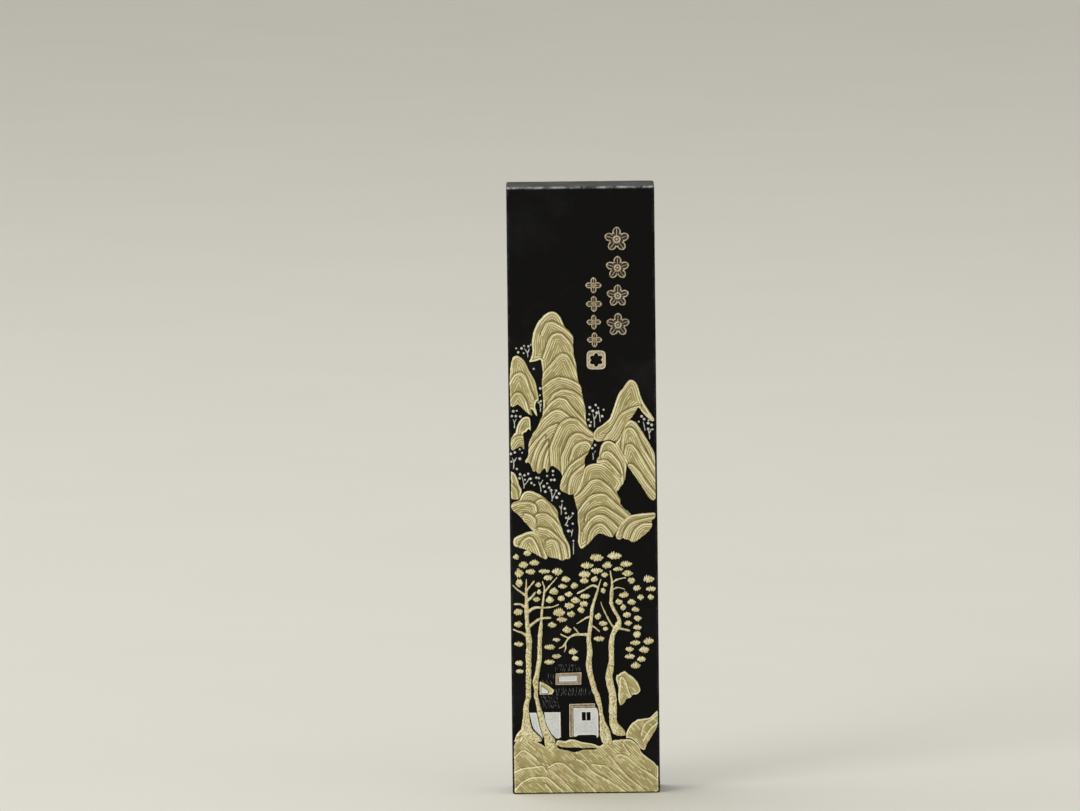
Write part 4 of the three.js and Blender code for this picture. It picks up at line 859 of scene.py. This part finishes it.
def hatch(depth, along, gap, seed):
    """Rows of long brush strokes below a crest: 0 between them, up to 1 on them."""
    row = depth / gap + 0.6 * grain(along / 2.4, depth / 2.2, seed)
    nearest = np.round(row)
    strength = 0.25 + 0.75 * ramp(0.2, 0.5, grain(along / 1.9, nearest * 7.3, seed + 1))
    ridge = (0.5 + 0.5 * np.cos(2 * math.pi * (row - nearest))) ** 2.4
    return ridge * strength


def hairs(x, z, seed):
    """Short fine strokes that run down to the right: up to 1 on them."""
    across, along = 0.69 * x + 0.72 * z, 0.72 * x - 0.69 * z
    row = across / 0.42 + 1.2 * grain(along / 3.5, across / 3, seed)
    nearest = np.round(row)
    strength = ramp(0.45, 0.7, grain(along / 1.1, nearest * 5.1, seed + 2))
    return (0.5 + 0.5 * np.cos(2 * math.pi * (row - nearest))) ** 3 * strength


def slope(depth, along, brush, seed):
    """Height and lightness of one fold of rock at a depth below its crest; the lightness paints a highlight
    near the crest, on its bead and on the strokes.
    """
    strokes = hatch(depth, along, brush["gap"], seed)
    bead = bell(depth, 0.1, brush["bead"])
    rise = np.exp(-depth / brush["fade"])
    height = 0.42 + brush["crest"] * rise + brush["rise"] * strokes + 0.04 * bead
    # Painted highlight: lighter near the crest and on the raised strokes, lightest on the crest's bead
    light = brush["tone"] + 0.1 * rise + brush["light"] * strokes * (0.6 + 0.4 * rise)
    light = light + brush["edge"] * bead
    return height, light


def rock_surface(rock, brush, seed):
    """Overlapping folds, each with a crest painted bright as a highlight, a groove behind it with painted
    shade, and strokes below.
    """
    edge = soften(closed(line_of(rock["outline"])))
    crests = [soften(line_of(fold)) for fold in rock["folds"]]

    def surface(x, z, depth):
        gap, along = from_line(x, z, edge)
        height, light = slope(gap, along, brush, seed)
        for turn, crest in enumerate(crests, start=1):
            gap, along = from_line(x, z, crest)
            past = past_ends(x, z, along, crest)
            skirt = np.array([[crest[-1, 0], -9], [crest[0, 0], -9]])
            below = np.where(is_inside(x, z, closed(np.vstack([crest, skirt]))), gap, -gap)
            present = 1 - ramp(0.1, 1.5, past)
            cover = ramp(-0.1, 0.04, below) * present
            groove = bell(below, -brush["groove"], brush["groove"]) * present
            height = height - 0.3 * brush["groove"] * groove
            # Painted shade darkens the groove behind each crest
            light = light * (1 - brush["dark"] * groove)
            fold_height, fold_light = slope(np.maximum(below, 0), along, brush, seed + 5 * turn)
            height = height + (fold_height - height) * cover
            light = light + (fold_light - light) * cover
        # Painted highlight on the fine hair strokes and along the rounded edge of the area
        stroke = brush["hair"] * hairs(x, z, seed) if brush["hair"] else 0
        light = light + stroke + 0.2 * bell(depth, 0.1, 0.12)
        return (height + 0.06 * stroke) * shoulder(depth), light, np.ones(x.shape)

    return surface


def bark_surface(x, z, depth):
    """A half-round trunk with knobbly, stippled bark, whose foot is level with the ground."""
    round_up = np.sqrt(1 - (1 - np.clip(depth / 0.45, 0, 1)) ** 2)
    knobs = grain(x / 0.22, z / 0.26, 2)
    foot = 1 - ramp(*TRUNK_FOOT, z)
    height = 0.36 + 0.22 * foot + (0.32 - 0.16 * foot) * round_up + 0.1 * (knobs - 0.5) * round_up
    pits = ramp(0.5, 0.75, grain(x / 0.15, z / 0.2, 9))
    # Painted highlight on the knobs and painted shade between them, besides the dark pits
    light = 0.82 + 0.4 * (knobs - 0.5) - 0.52 * pits * ramp(0.05, 0.25, depth)
    return height, light, np.ones(x.shape)


def leaf_surface(x, z, depth):
    """A low dome of fine tufts, with a painted highlight on them and painted shade between them."""
    tufts = grain(x / 0.13 + 0.4 * z, z / 0.26, 4)
    dome = ramp(0, 0.3, depth)
    height = 0.24 + 0.22 * dome + 0.16 * (tufts - 0.4) * dome
    light = 0.5 + 0.6 * tufts - 0.3 * ramp(0.5, 0.75, grain(x / 0.2, z / 0.2, 6)) * dome
    return height, light, np.ones(x.shape)


def wall_surface(x, z, depth):
    """A flat painted wall with a raised rim, lightened by a painted highlight."""
    rim = bell(depth, 0.12, 0.1)
    specks = ramp(0.74, 0.86, grain(x / 0.16, z / 0.16, 8))
    height = 0.4 + 0.1 * rim + 0.02 * grain(x / 0.5, z / 0.5, 1)
    light = 0.58 + 0.42 * rim - 0.2 * specks
    return height * shoulder(depth, 0.12), light, np.ones(x.shape)


def frame_surface(x, z, depth):
    """A narrow frame, its two edges raised and pale with a painted highlight."""
    lines = bell(depth, 0.08, 0.09)
    height = 0.42 + 0.1 * lines
    light = 0.3 + 0.65 * lines - 0.2 * ramp(0.6, 0.8, grain(x / 0.25, z / 0.25, 5))
    return height * shoulder(depth, 0.1), light, np.ones(x.shape)


def silver_surface(x, z, depth):
    """Thin rounded strokes and buds, with a painted highlight on their crowns."""
    round_up = np.sqrt(1 - (1 - np.clip(depth / 0.25, 0, 1)) ** 2)
    light = 0.6 + 0.5 * round_up - 0.25 * ramp(0.55, 0.8, grain(x / 0.18, z / 0.18, 7))
    return 0.1 + 0.24 * round_up, light, ramp(-0.05, 0, depth)


def flower_surface(centre_x, centre_z, radius, petals):
    """Petals edged and veined by raised painted lines on bare ink, round a small boss; the lines carry a
    painted highlight.
    """

    def surface(x, z, depth):
        away = np.hypot(x - centre_x, z - centre_z) / radius
        turn = np.arctan2(x - centre_x, z - centre_z)
        lines = bell(depth, 0.16, 0.13) + bell(away, 0.24, 0.07)
        seams = bell(np.abs(np.sin(turn * petals / 2)) * away * radius, 0, 0.13)
        veins = bell(np.sin(turn * petals * 1.5), 0, 0.3) * bell(away, 0.55, 0.2)
        lines = np.clip(lines + seams * ramp(0.24, 0.3, away) + 0.9 * veins + bell(away, 0, 0.1), 0, 1)
        cover = ramp(0.25, 0.5, lines)
        worn = ramp(0.62, 0.85, grain(x / 0.3, z / 0.3, 12))
        return 0.12 + 0.18 * lines, 0.3 + 0.4 * lines - 0.3 * worn, cover

    return surface


# Paint and ink


def node(tree, kind, inputs=None, **settings):
    """A shader node with its settings made and its inputs filled or joined."""
    made = tree.nodes.new(kind)
    for key, value in settings.items():
        setattr(made, key, value)
    for key, value in (inputs or {}).items():
        if isinstance(value, bpy.types.NodeSocket):
            tree.links.new(value, made.inputs[key])
        else:
            made.inputs[key].default_value = value
    return made


def maths(tree, operation, first, second=0.0, third=0.0):
    """One step of arithmetic between sockets or numbers."""
    made = node(tree, "ShaderNodeMath", {0: first, 1: second, 2: third}, operation=operation)
    return made.outputs[0]


def spread(tree, value, low, high, to_low=0.0, to_high=1.0):
    """A value stretched from one range to another and held to it."""
    inputs = {"Value": value, "From Min": low, "From Max": high, "To Min": to_low, "To Max": to_high}
    return node(tree, "ShaderNodeMapRange", inputs).outputs["Result"]


def noise(tree, coordinates, size, detail=2.0, roughness=0.5):
    """Cloudy noise whose patches are about the given size across, in metres."""
    inputs = {"Vector": coordinates, "Scale": 1 / size, "Detail": detail, "Roughness": roughness}
    return node(tree, "ShaderNodeTexNoise", inputs).outputs["Fac"]


def mixed(tree, share, first, second):
    """Two colours mixed by a share."""
    return node(tree, "ShaderNodeMix", {"Factor": share, 6: first, 7: second}, data_type="RGBA").outputs[2]


def colour_band(tree, value, stops):
    """Colours along a value."""
    made = node(tree, "ShaderNodeValToRGB", {"Fac": value})
    band = made.color_ramp
    for place, _ in stops[2:]:
        band.elements.new(place)
    for element, (place, shade) in zip(band.elements, stops):
        element.position, element.color = place, shade
    return made.outputs["Color"]


def rgba(shade):
    return (*shade, 1.0)


def blank_material(name):
    """A new material, its node tree, its surface shader and the place on the piece."""
    material = bpy.data.materials.new(name)
    material.use_nodes = True
    tree = material.node_tree
    spot = node(tree, "ShaderNodeTexCoord").outputs["Object"]
    return material, tree, tree.nodes["Principled BSDF"], spot


def dress(tree, shader, colour, roughness, bump=None, metallic=0.0):
    """Fills the surface shader's sockets with sockets or plain numbers."""
    for key, value in (("Base Color", colour), ("Roughness", roughness), ("Metallic", metallic)):
        if isinstance(value, bpy.types.NodeSocket):
            tree.links.new(value, shader.inputs[key])
        else:
            shader.inputs[key].default_value = value
    if bump:
        tree.links.new(bump.outputs["Normal"], shader.inputs["Normal"])


# Paints: painted shade in grooves, colours on slopes, painted highlights on strokes, colours in patches,
# then metallic and roughness
PAINTS = {
    "gilt": ("gilt_groove_shade", "gilt", "gilt_highlight", "gilt_blush", 0.25, 0.5),
    "copper": ("copper_groove_shade", "copper", "copper_highlight", "gilt_blush", 0.25, 0.5),
    "white": ("white_shade", "white", "white_highlight", "white_blush", 0.0, 0.7),
    "silver": ("silver_shade", "silver", "silver_highlight", "silver", 0.3, 0.5),
}


def paint_material(finish):
    """Paint with painted shade in its grooves and a painted highlight on its strokes, patchy, worn and a
    little grainy.
    """
    name = f"{finish}_paint"
    if name in bpy.data.materials:
        return bpy.data.materials[name]
    colours = bpy.context.scene.ink_stick_colours
    *shades, metallic, roughness = PAINTS[finish]
    groove, base, high, blush = (rgba(getattr(colours, shade)) for shade in shades)
    material, tree, shader, spot = blank_material(name)
    light = node(tree, "ShaderNodeAttribute", attribute_name="light").outputs["Fac"]
    paint = node(tree, "ShaderNodeAttribute", attribute_name="paint").outputs["Fac"]
    fleck = noise(tree, spot, 0.16 * MM, detail=3, roughness=0.6)
    patch = noise(tree, spot, 2.6 * MM, detail=1)
    tone = maths(tree, "ADD", light, spread(tree, fleck, 0.3, 0.7, -0.16, 0.16))
    tone = maths(tree, "ADD", tone, spread(tree, patch, 0.3, 0.7, -0.06, 0.06))
    # The lightness carries painted highlight and shade; the band turns it into shaded, plain and highlit
    # paint
    shade = colour_band(tree, tone, [(0.0, groove), (0.55, base), (1.0, high)])
    blushing = spread(tree, noise(tree, spot, 3.4 * MM, detail=2), 0.5, 0.72, 0, 0.42)
    shade = mixed(tree, maths(tree, "MULTIPLY", blushing, tone), shade, blush)
    cover = spread(tree, maths(tree, "ADD", paint, maths(tree, "MULTIPLY", fleck, 0.3)), 0.45, 0.75)
    shade = mixed(tree, cover, rgba(colours.ink), shade)
    bump = node(tree, "ShaderNodeBump", {"Height": fleck, "Strength": 0.25, "Distance": 0.05 * MM})
    rough = spread(tree, fleck, 0.3, 0.7, roughness - 0.08, roughness + 0.1)
    dress(tree, shader, shade, rough, bump, maths(tree, "MULTIPLY", cover, metallic))
    return material


def edge_wear(tree, spot, low, high, width):
    """1 on the edges of a box and 0 a little way in from them."""
    middle, half = (low + high) / 2, (high - low) / 2
    split = node(tree, "ShaderNodeSeparateXYZ", {"Vector": spot})
    inward = []
    for axis in range(3):
        off = maths(tree, "ABSOLUTE", maths(tree, "SUBTRACT", split.outputs[axis], middle[axis]))
        inward.append(maths(tree, "SUBTRACT", half[axis], off))
    pairs = [maths(tree, "ADD", inward[a], inward[b]) for a, b in ((0, 1), (1, 2), (0, 2))]
    nearest = maths(tree, "MINIMUM", maths(tree, "MINIMUM", pairs[0], pairs[1]), pairs[2])
    return spread(tree, nearest, width, 0.3 * width)


def ink_material(name, low, high):
    """Dried ink: nearly black, satin, faintly mottled, rubbed grey along its edges, with a painted
    highlight along the top front edge.
    """
    colours = bpy.context.scene.ink_stick_colours
    sizes = bpy.context.scene.ink_stick_sizes
    material, tree, shader, spot = blank_material(name)
    mottle = noise(tree, spot, 6 * MM, detail=4, roughness=0.6)
    dust = noise(tree, spot, 0.22 * MM, detail=3)
    wear = edge_wear(tree, spot, low, high, 1.7 * sizes.edge_round)
    rubbed = spread(tree, noise(tree, spot, 1.6 * MM, detail=5, roughness=0.7), 0.46, 0.62)
    wear = maths(tree, "MULTIPLY", wear, rubbed)
    worn = maths(tree, "MULTIPLY", wear, 0.16)
    handled = spread(tree, noise(tree, spot, 15 * MM, detail=5, roughness=0.65), 0.52, 0.72, 0, 0.03)
    dusty = maths(tree, "ADD", spread(tree, dust, 0.66, 0.8, 0, 0.05), handled)
    shade = mixed(tree, maths(tree, "ADD", worn, dusty), rgba(colours.ink), rgba(colours.worn_ink))
    # Painted highlight along the top front edge, where the rounded edge catches the light overhead, broken
    # up by noise
    split = node(tree, "ShaderNodeSeparateXYZ", {"Vector": spot})
    from_top = maths(tree, "SUBTRACT", high.z, split.outputs["Z"])
    from_front = maths(tree, "SUBTRACT", split.outputs["Y"], low.y)
    highlight_band = maths(tree, "ADD", from_top, from_front)
    highlight_band = spread(tree, highlight_band, 1.5 * sizes.edge_round, 0.8 * sizes.edge_round)
    highlight_breaks = spread(tree, noise(tree, spot, 2.2 * MM, detail=4, roughness=0.7), 0.4, 0.64, 0.06, 0.8)
    shade = mixed(tree, maths(tree, "MULTIPLY", highlight_band, highlight_breaks), shade, rgba(colours.edge_highlight))
    rough = spread(tree, mottle, 0.3, 0.7, 0.34, 0.46)
    heights = maths(tree, "ADD", maths(tree, "MULTIPLY", mottle, 0.6), maths(tree, "MULTIPLY", dust, 0.25))
    bump = node(tree, "ShaderNodeBump", {"Height": heights, "Strength": 0.2, "Distance": 0.06 * MM})
    shader.inputs["Specular IOR Level"].default_value = 0.09
    dress(tree, shader, shade, maths(tree, "ADD", rough, maths(tree, "MULTIPLY", wear, 0.2)), bump)
    return material


# Outlines


def trunk_outline(rows):
    """Up the left side of a trunk and down its right side."""
    rows = np.array(rows, float).reshape(-1, 3)
    left, right = rows[:, [1, 0]], rows[::-1][:, [2, 0]]
    return np.vstack([left, right])


def stroke_outline(flat, first_width, last_width):
    """A tapering stroke along a line."""
    line = line_of(flat)
    ahead = np.vstack([line[1:], line[-1:]]) - np.vstack([line[:1], line[:-1]])
    ahead /= np.hypot(ahead[:, :1], ahead[:, 1:])
    aside = np.stack([-ahead[:, 1], ahead[:, 0]], axis=1)
    half = np.linspace(first_width, last_width, len(line))[:, None] / 2
    return np.vstack([line + aside * half, (line - aside * half)[::-1]])


def leaf_outline(x, z, width, height, random):
    """A flat lens of foliage, spiky on top and a little notched below."""
    points = []
    for side, count, spike in ((1, 13, 0.66), (-1, 9, 0.34)):
        for step in range(count):
            across = side * (1 - 2 * step / count)
            bulge = (1 - abs(across) ** 2.2) ** 0.8 * height / 2
            tooth = spike if step % 2 else -0.75 * spike
            up = bulge * (1 + tooth * random.uniform(0.4, 1.2)) + 0.08 * random.uniform(-1, 1)
            points.append((x + across * width / 2, z + side * up))
    return np.array(points)


def rosette_outline(x, z, radius, count, reach_at):
    """A closed outline round a centre, its reach a function of the angle from the top."""
    angles = np.linspace(0, 2 * math.pi, count, endpoint=False)
    reach = radius * reach_at(angles)
    return np.stack([x + reach * np.sin(angles), z + reach * np.cos(angles)], axis=1)


def petal_reach(petals, depth):
    return lambda angle: 1 - depth + depth * np.abs(np.cos(angle * petals / 2))


def rounded_square(angle):
    return (np.abs(np.cos(angle)) ** 5 + np.abs(np.sin(angle)) ** 5) ** (-1 / 5)


# Areas, each kept clear of the ones before it in the order trees, house, rocks


def layered(parts, front, **edges):
    """Areas of parts that each have an outline, kept clear of those in front and of one another."""
    areas = {}
    for name, part in parts.items():
        openings = [line_of(opening) for opening in part.get("openings", [])]
        in_front = [*front, *areas.values()]
        areas[name] = Area([line_of(part["outline"])], openings, in_front=in_front, **edges)
    return areas


def tree_areas():
    areas = {}
    for name, tree in TREES.items():
        outlines = [trunk_outline(tree["rows"])]
        outlines += [stroke_outline(*branch) for branch in tree["branches"]]
        areas[name] = Area(outlines, in_front=list(areas.values()), ragged=0.07)
    return areas


def house_areas():
    return layered(HOUSE, tree_areas().values(), ragged=0.03, rounded=False, gap=0.1)


def rock_areas():
    return layered(ROCKS, [*tree_areas().values(), *house_areas().values()])


def relief_piece(name, area, surface, cell, finish, slot="gilt", replaced=True):
    """Makes the piece of one painted area, in place of the frame's own."""
    bm = new_mesh()
    add_relief(bm, area, surface, cell)
    piece = name if slot == "silver" else f"{name}_relief"
    finish_piece(bm, piece, paint_material(finish), [f"{slot}_{name}"] if replaced else [])


# Operators: one for each kind of piece


class INKSTICK_OT_cake(bpy.types.Operator):
    """Make the black cake, its edges rounded and a little chipped"""

    bl_idname = "ink_stick.cake"
    bl_label = "Cake"

    def execute(self, context):
        sizes = context.scene.ink_stick_sizes
        low, high = Vector(CAD_BOX[0]), Vector(CAD_BOX[1])
        low.y = FIELD_Y
        bm = bmesh.new()
        bmesh.ops.create_cube(bm, size=1)
        for axis in range(3):
            edges = [e for e in bm.edges if abs((e.verts[0].co - e.verts[1].co)[axis]) > 0.9]
            cuts = round((high - low)[axis] / sizes.mould_cell) - 1
            bmesh.ops.subdivide_edges(bm, edges=edges, cuts=cuts, use_grid_fill=True)
        bmesh.ops.scale(bm, verts=bm.verts, vec=high - low)
        bmesh.ops.translate(bm, verts=bm.verts, vec=(low + high) / 2)
        corners = [e for e in bm.edges if e.calc_face_angle(0) > 1]
        bmesh.ops.bevel(
            bm, geom=corners, offset=sizes.edge_round, affect="EDGES", segments=4, profile=0.5, material=-1
        )
        self.wear(bm, low, high, sizes)
        piece = finish_piece(bm, "cake", ink_material("dried_ink", low, high), ["ink_block"])
        piece.modifiers.new("flat_faces", "WEIGHTED_NORMAL").keep_sharp = True
        return {"FINISHED"}

    @staticmethod
    def wear(bm, low, high, sizes):
        """Moves the rounded edges inward where they are chipped."""
        middle = (low + high) / 2
        half = (high - low) / 2
        for vert in bm.verts:
            inward = sorted(half[axis] - abs(vert.co[axis] - middle[axis]) for axis in range(3))
            if inward[1] > 1.01 * sizes.edge_round:
                continue
            at = vert.co / MM
            chips = ramp(0.6, 0.85, grain(at.x / 1.3 + at.y, at.z / 1.3 + at.y, 21))
            fine = grain(at.x / 0.7 + 2 * at.y, at.z / 0.7 - at.y, 22)
            toward = Vector([math.copysign(1, c) if h - abs(c) < 1.01 * sizes.edge_round else 0
                             for c, h in zip(vert.co - middle, half)])
            if toward.length:
                vert.co -= toward.normalized() * sizes.chip * (0.75 * float(chips) + 0.25 * float(fine))


class INKSTICK_OT_rocks(bpy.types.Operator):
    """Make the mountains, rocks and ground in gilt relief"""

    bl_idname = "ink_stick.rocks"
    bl_label = "Rocks"

    def execute(self, context):
        sizes = context.scene.ink_stick_sizes
        # Gaps, rises, widths and depths in millimetres; the rest are shares of full lightness
        # edge and light are painted highlights on crest beads and on strokes; dark is painted shade in the
        # grooves
        mountain = {
            "gap": sizes.stroke_gap / MM, "rise": sizes.stroke_rise / MM, "crest": 0.22, "fade": 1.0,
            "bead": 0.11, "edge": 0.42, "tone": 0.24, "light": 1.0, "groove": 0.2, "dark": 0.85, "hair": 0,
        }
        grass = {
            "gap": sizes.grass_gap / MM, "rise": sizes.grass_rise / MM, "crest": 0.14, "fade": 0.8,
            "bead": 0.1, "edge": 0.7, "tone": 0.28, "light": 0.46, "groove": 0.13, "dark": 0.6, "hair": 0.7,
        }
        for number, (name, area) in enumerate(rock_areas().items()):
            brush = grass if name in ("ground", "bank_rock", "standing_rock") else mountain
            surface = rock_surface(ROCKS[name], brush, 3 + number)
            relief_piece(name, area, surface, sizes.rock_cell / MM, "gilt")
        return {"FINISHED"}


class INKSTICK_OT_trees(bpy.types.Operator):
    """Make the four trees in gilt relief"""

    bl_idname = "ink_stick.trees"
    bl_label = "Trees"

    def execute(self, context):
        cell = context.scene.ink_stick_sizes.fine_cell / MM
        for name, area in tree_areas().items():
            relief_piece(name, area, bark_surface, cell, "gilt")
        return {"FINISHED"}


class INKSTICK_OT_foliage(bpy.types.Operator):
    """Make the tufted foliage in three groups"""

    bl_idname = "ink_stick.foliage"
    bl_label = "Foliage"

    def execute(self, context):
        sizes = context.scene.ink_stick_sizes
        random = np.random.default_rng(5)
        front = [*tree_areas().values(), *house_areas().values()]
        groups = {name: new_mesh() for name in ("left", "middle", "right")}
        for x, z, width, height in np.array(PADS).reshape(-1, 4):
            side = "left" if x < -7 else "middle" if x < 6 else "right"
            outline = leaf_outline(x, z, width, height, random)
            area = Area([outline], in_front=front, ragged=0.05, rounded=False)
            add_relief(groups[side], area, leaf_surface, sizes.fine_cell / MM)
        for side, bm in groups.items():
            finish_piece(bm, f"foliage_{side}", paint_material("gilt"))
        return {"FINISHED"}


class INKSTICK_OT_house(bpy.types.Operator):
    """Make the house: white walls, coppery frames, a gilt gable and the strokes of its thatch"""

    bl_idname = "ink_stick.house"
    bl_label = "House"

    def execute(self, context):
        cell = context.scene.ink_stick_sizes.fine_cell / MM
        for name, area in house_areas().items():
            finish = HOUSE[name]["finish"]
            surface = frame_surface if finish == "copper" else wall_surface
            slot = "white" if finish == "white" else "gilt"
            relief_piece(name, area, surface, cell, finish, slot, replaced=name != "gable_light")
        self.thatch()
        return {"FINISHED"}

    @staticmethod
    def thatch():
        """Short strokes of bare ink in rows on the roof."""
        random = np.random.default_rng(8)
        bm = bmesh.new()
        for left, right, low, high, lean in THATCH:
            for x in np.arange(left, right, THATCH_GAP):
                tilt = math.radians(lean + random.uniform(-16, 16))
                size = random.uniform(0.65, 1.15) * (high - low)
                made = bmesh.ops.create_cone(
                    bm, cap_ends=True, segments=6, depth=size * MM,
                    radius1=THATCH_BUTT * MM, radius2=THATCH_TIP * MM,
                )["verts"]
                bmesh.ops.rotate(bm, verts=made, cent=(0, 0, 0), matrix=Matrix.Rotation(tilt, 3, "Y"))
                x += random.uniform(-0.2, 0.2)
                spot = (x * MM, FIELD_Y, ((low + high) / 2 + random.uniform(-0.15, 0.15)) * MM)
                bmesh.ops.translate(bm, verts=made, vec=spot)
        finish_piece(bm, "roof_thatch", thatch_ink())


class INKSTICK_OT_saplings(bpy.types.Operator):
    """Make the silver saplings with their buds"""

    bl_idname = "ink_stick.saplings"
    bl_label = "Saplings"

    def execute(self, context):
        sizes = context.scene.ink_stick_sizes
        random = np.random.default_rng(3)
        width, radius = sizes.stem_width / MM, sizes.bud_radius / MM
        front = list(rock_areas().values())
        for number, sapling in enumerate(SAPLINGS, start=1):
            stems = [stroke_outline(stem, width, 0.8 * width) for stem in sapling["stems"]]
            buds = [(x, z, radius * random.uniform(0.75, 1.2)) for x, z in line_of(sapling["buds"])]
            area = Area(stems, buds=buds, in_front=front, ragged=0.05, gap=0.15)
            cell = sizes.fine_cell / MM
            relief_piece(f"sapling_{number:02d}", area, silver_surface, cell, "silver", "silver")
        return {"FINISHED"}


class INKSTICK_OT_ornaments(bpy.types.Operator):
    """Make the two columns of flowers and the tile below them"""

    bl_idname = "ink_stick.ornaments"
    bl_label = "Ornaments"

    def execute(self, context):
        cell = context.scene.ink_stick_sizes.fine_cell / MM
        for kind, (petals, depth, flowers) in FLOWERS.items():
            for number, (x, z, radius) in enumerate(flowers, start=1):
                outline = rosette_outline(x, z, radius, 60, petal_reach(petals, depth))
                area = Area([outline], ragged=0.04)
                relief_piece(f"{kind}_{number}", area, flower_surface(x, z, radius, petals), cell, "copper")
        self.tile(cell)
        return {"FINISHED"}

    @staticmethod
    def tile(cell):
        """A rounded tile with a flower opening."""
        x, z, half = TILE
        square = rosette_outline(x, z, half, 48, rounded_square)
        flower = rosette_outline(x, z, 0.7 * half, 60, petal_reach(*TILE_FLOWER))
        relief_piece("seal_tile", Area([square], [flower], ragged=0.04), wall_surface, cell, "copper")


class INKSTICK_OT_stage(bpy.types.Operator):
    """Make the floor, the lights and the camera"""

    bl_idname = "ink_stick.stage"
    bl_label = "Stage"

    def execute(self, context):
        scene = context.scene
        colours, view = scene.ink_stick_colours, scene.ink_stick_view
        bm = bmesh.new()
        bmesh.ops.create_circle(bm, cap_ends=True, segments=96, radius=FLOOR_RADIUS)
        mesh = bpy.data.meshes.new("floor")
        bm.to_mesh(mesh)
        bm.free()
        mesh.materials.append(floor_material(colours))
        floor = bpy.data.objects.new("floor", mesh)
        scene.collection.objects.link(floor)
        world = bpy.data.worlds.new("studio")
        world.use_nodes = True
        world.node_tree.nodes["Background"].inputs["Color"].default_value = rgba(colours.backdrop)
        scene.world = world
        scene.view_settings.view_transform = "Standard"
        for name, (place, size) in LIGHTS.items():
            self.light(scene, name, getattr(view, f"{name}_power"), place, size)
        self.camera(scene, view)
        return {"FINISHED"}

    @staticmethod
    def light(scene, name, power, place, size):
        """A square soft light that looks at the stick."""
        data = bpy.data.lights.new(name, "AREA")
        data.energy, data.size = power, size
        lamp = bpy.data.objects.new(name, data)
        lamp.location = place
        lamp.rotation_mode = "QUATERNION"
        lamp.rotation_quaternion = (LIGHT_AIM - lamp.location).to_track_quat("-Z", "Y")
        scene.collection.objects.link(lamp)

    @staticmethod
    def camera(scene, view):
        """A long lens, level with the lower part of the view and a little above the stick."""
        data = bpy.data.cameras.new("camera")
        data.lens, data.sensor_width = view.lens, 36
        data.clip_end = 50
        camera = bpy.data.objects.new("camera", data)
        aim = Vector(VIEW_AIM) * MM
        back = Vector((0, -math.cos(view.elevation), math.sin(view.elevation)))
        camera.location = aim + back * view.distance
        turn = (-back).to_track_quat("-Z", "Y").to_matrix() @ Matrix.Rotation(view.roll, 3, "Z")
        camera.rotation_mode = "QUATERNION"
        camera.rotation_quaternion = turn.to_quaternion()
        scene.collection.objects.link(camera)
        scene.camera = camera


def floor_material(colours):
    """A pale matt board."""
    material, tree, shader, spot = blank_material("pale_board")
    cloud = spread(tree, noise(tree, spot, 0.06, detail=3), 0.3, 0.7, 0.0, 0.05)
    shade = mixed(tree, cloud, rgba(colours.floor), (0.5, 0.5, 0.47, 1))
    dress(tree, shader, shade, 0.8)
    return material


def thatch_ink():
    """Bare ink rubbed slightly blue and grey."""
    material, tree, shader, spot = blank_material("thatch_ink")
    rubbed = spread(tree, noise(tree, spot, 0.5 * MM, detail=2), 0.4, 0.65)
    shade = mixed(tree, rubbed, (0.012, 0.014, 0.018, 1), (0.19, 0.21, 0.24, 1))
    dress(tree, shader, shade, 0.45)
    return material


class INKSTICK_PT_panel(bpy.types.Panel):
    """Lists the sizes, the colours and the makers of the pieces"""

    bl_label = "Ink Stick"
    bl_idname = "INKSTICK_PT_panel"
    bl_space_type = "VIEW_3D"
    bl_region_type = "UI"
    bl_category = "Ink Stick"

    def draw(self, context):
        layout = self.layout
        for maker in MAKERS:
            layout.operator(maker.bl_idname)
        for group in (getattr(context.scene, name) for name in GROUPS):
            box = layout.box()
            for name in group.__annotations__:
                box.prop(group, name)


MAKERS = (
    INKSTICK_OT_cake,
    INKSTICK_OT_rocks,
    INKSTICK_OT_trees,
    INKSTICK_OT_foliage,
    INKSTICK_OT_house,
    INKSTICK_OT_saplings,
    INKSTICK_OT_ornaments,
    INKSTICK_OT_stage,
)
GROUPS = {
    "ink_stick_sizes": InkStickSizes,
    "ink_stick_colours": InkStickColours,
    "ink_stick_view": InkStickView,
}


def register():
    for group in (*GROUPS.values(), *MAKERS, INKSTICK_PT_panel):
        bpy.utils.register_class(group)
    for name, group in GROUPS.items():
        setattr(bpy.types.Scene, name, bpy.props.PointerProperty(type=group))


def unregister():
    for name in GROUPS:
        delattr(bpy.types.Scene, name)
    for group in reversed((*GROUPS.values(), *MAKERS, INKSTICK_PT_panel)):
        bpy.utils.unregister_class(group)


def main():
    register()
    bpy.ops.ink_stick.cake()
    bpy.ops.ink_stick.rocks()
    bpy.ops.ink_stick.trees()
    bpy.ops.ink_stick.foliage()
    bpy.ops.ink_stick.house()
    bpy.ops.ink_stick.saplings()
    bpy.ops.ink_stick.ornaments()
    bpy.ops.ink_stick.stage()


if __name__ == "__main__":
    main()
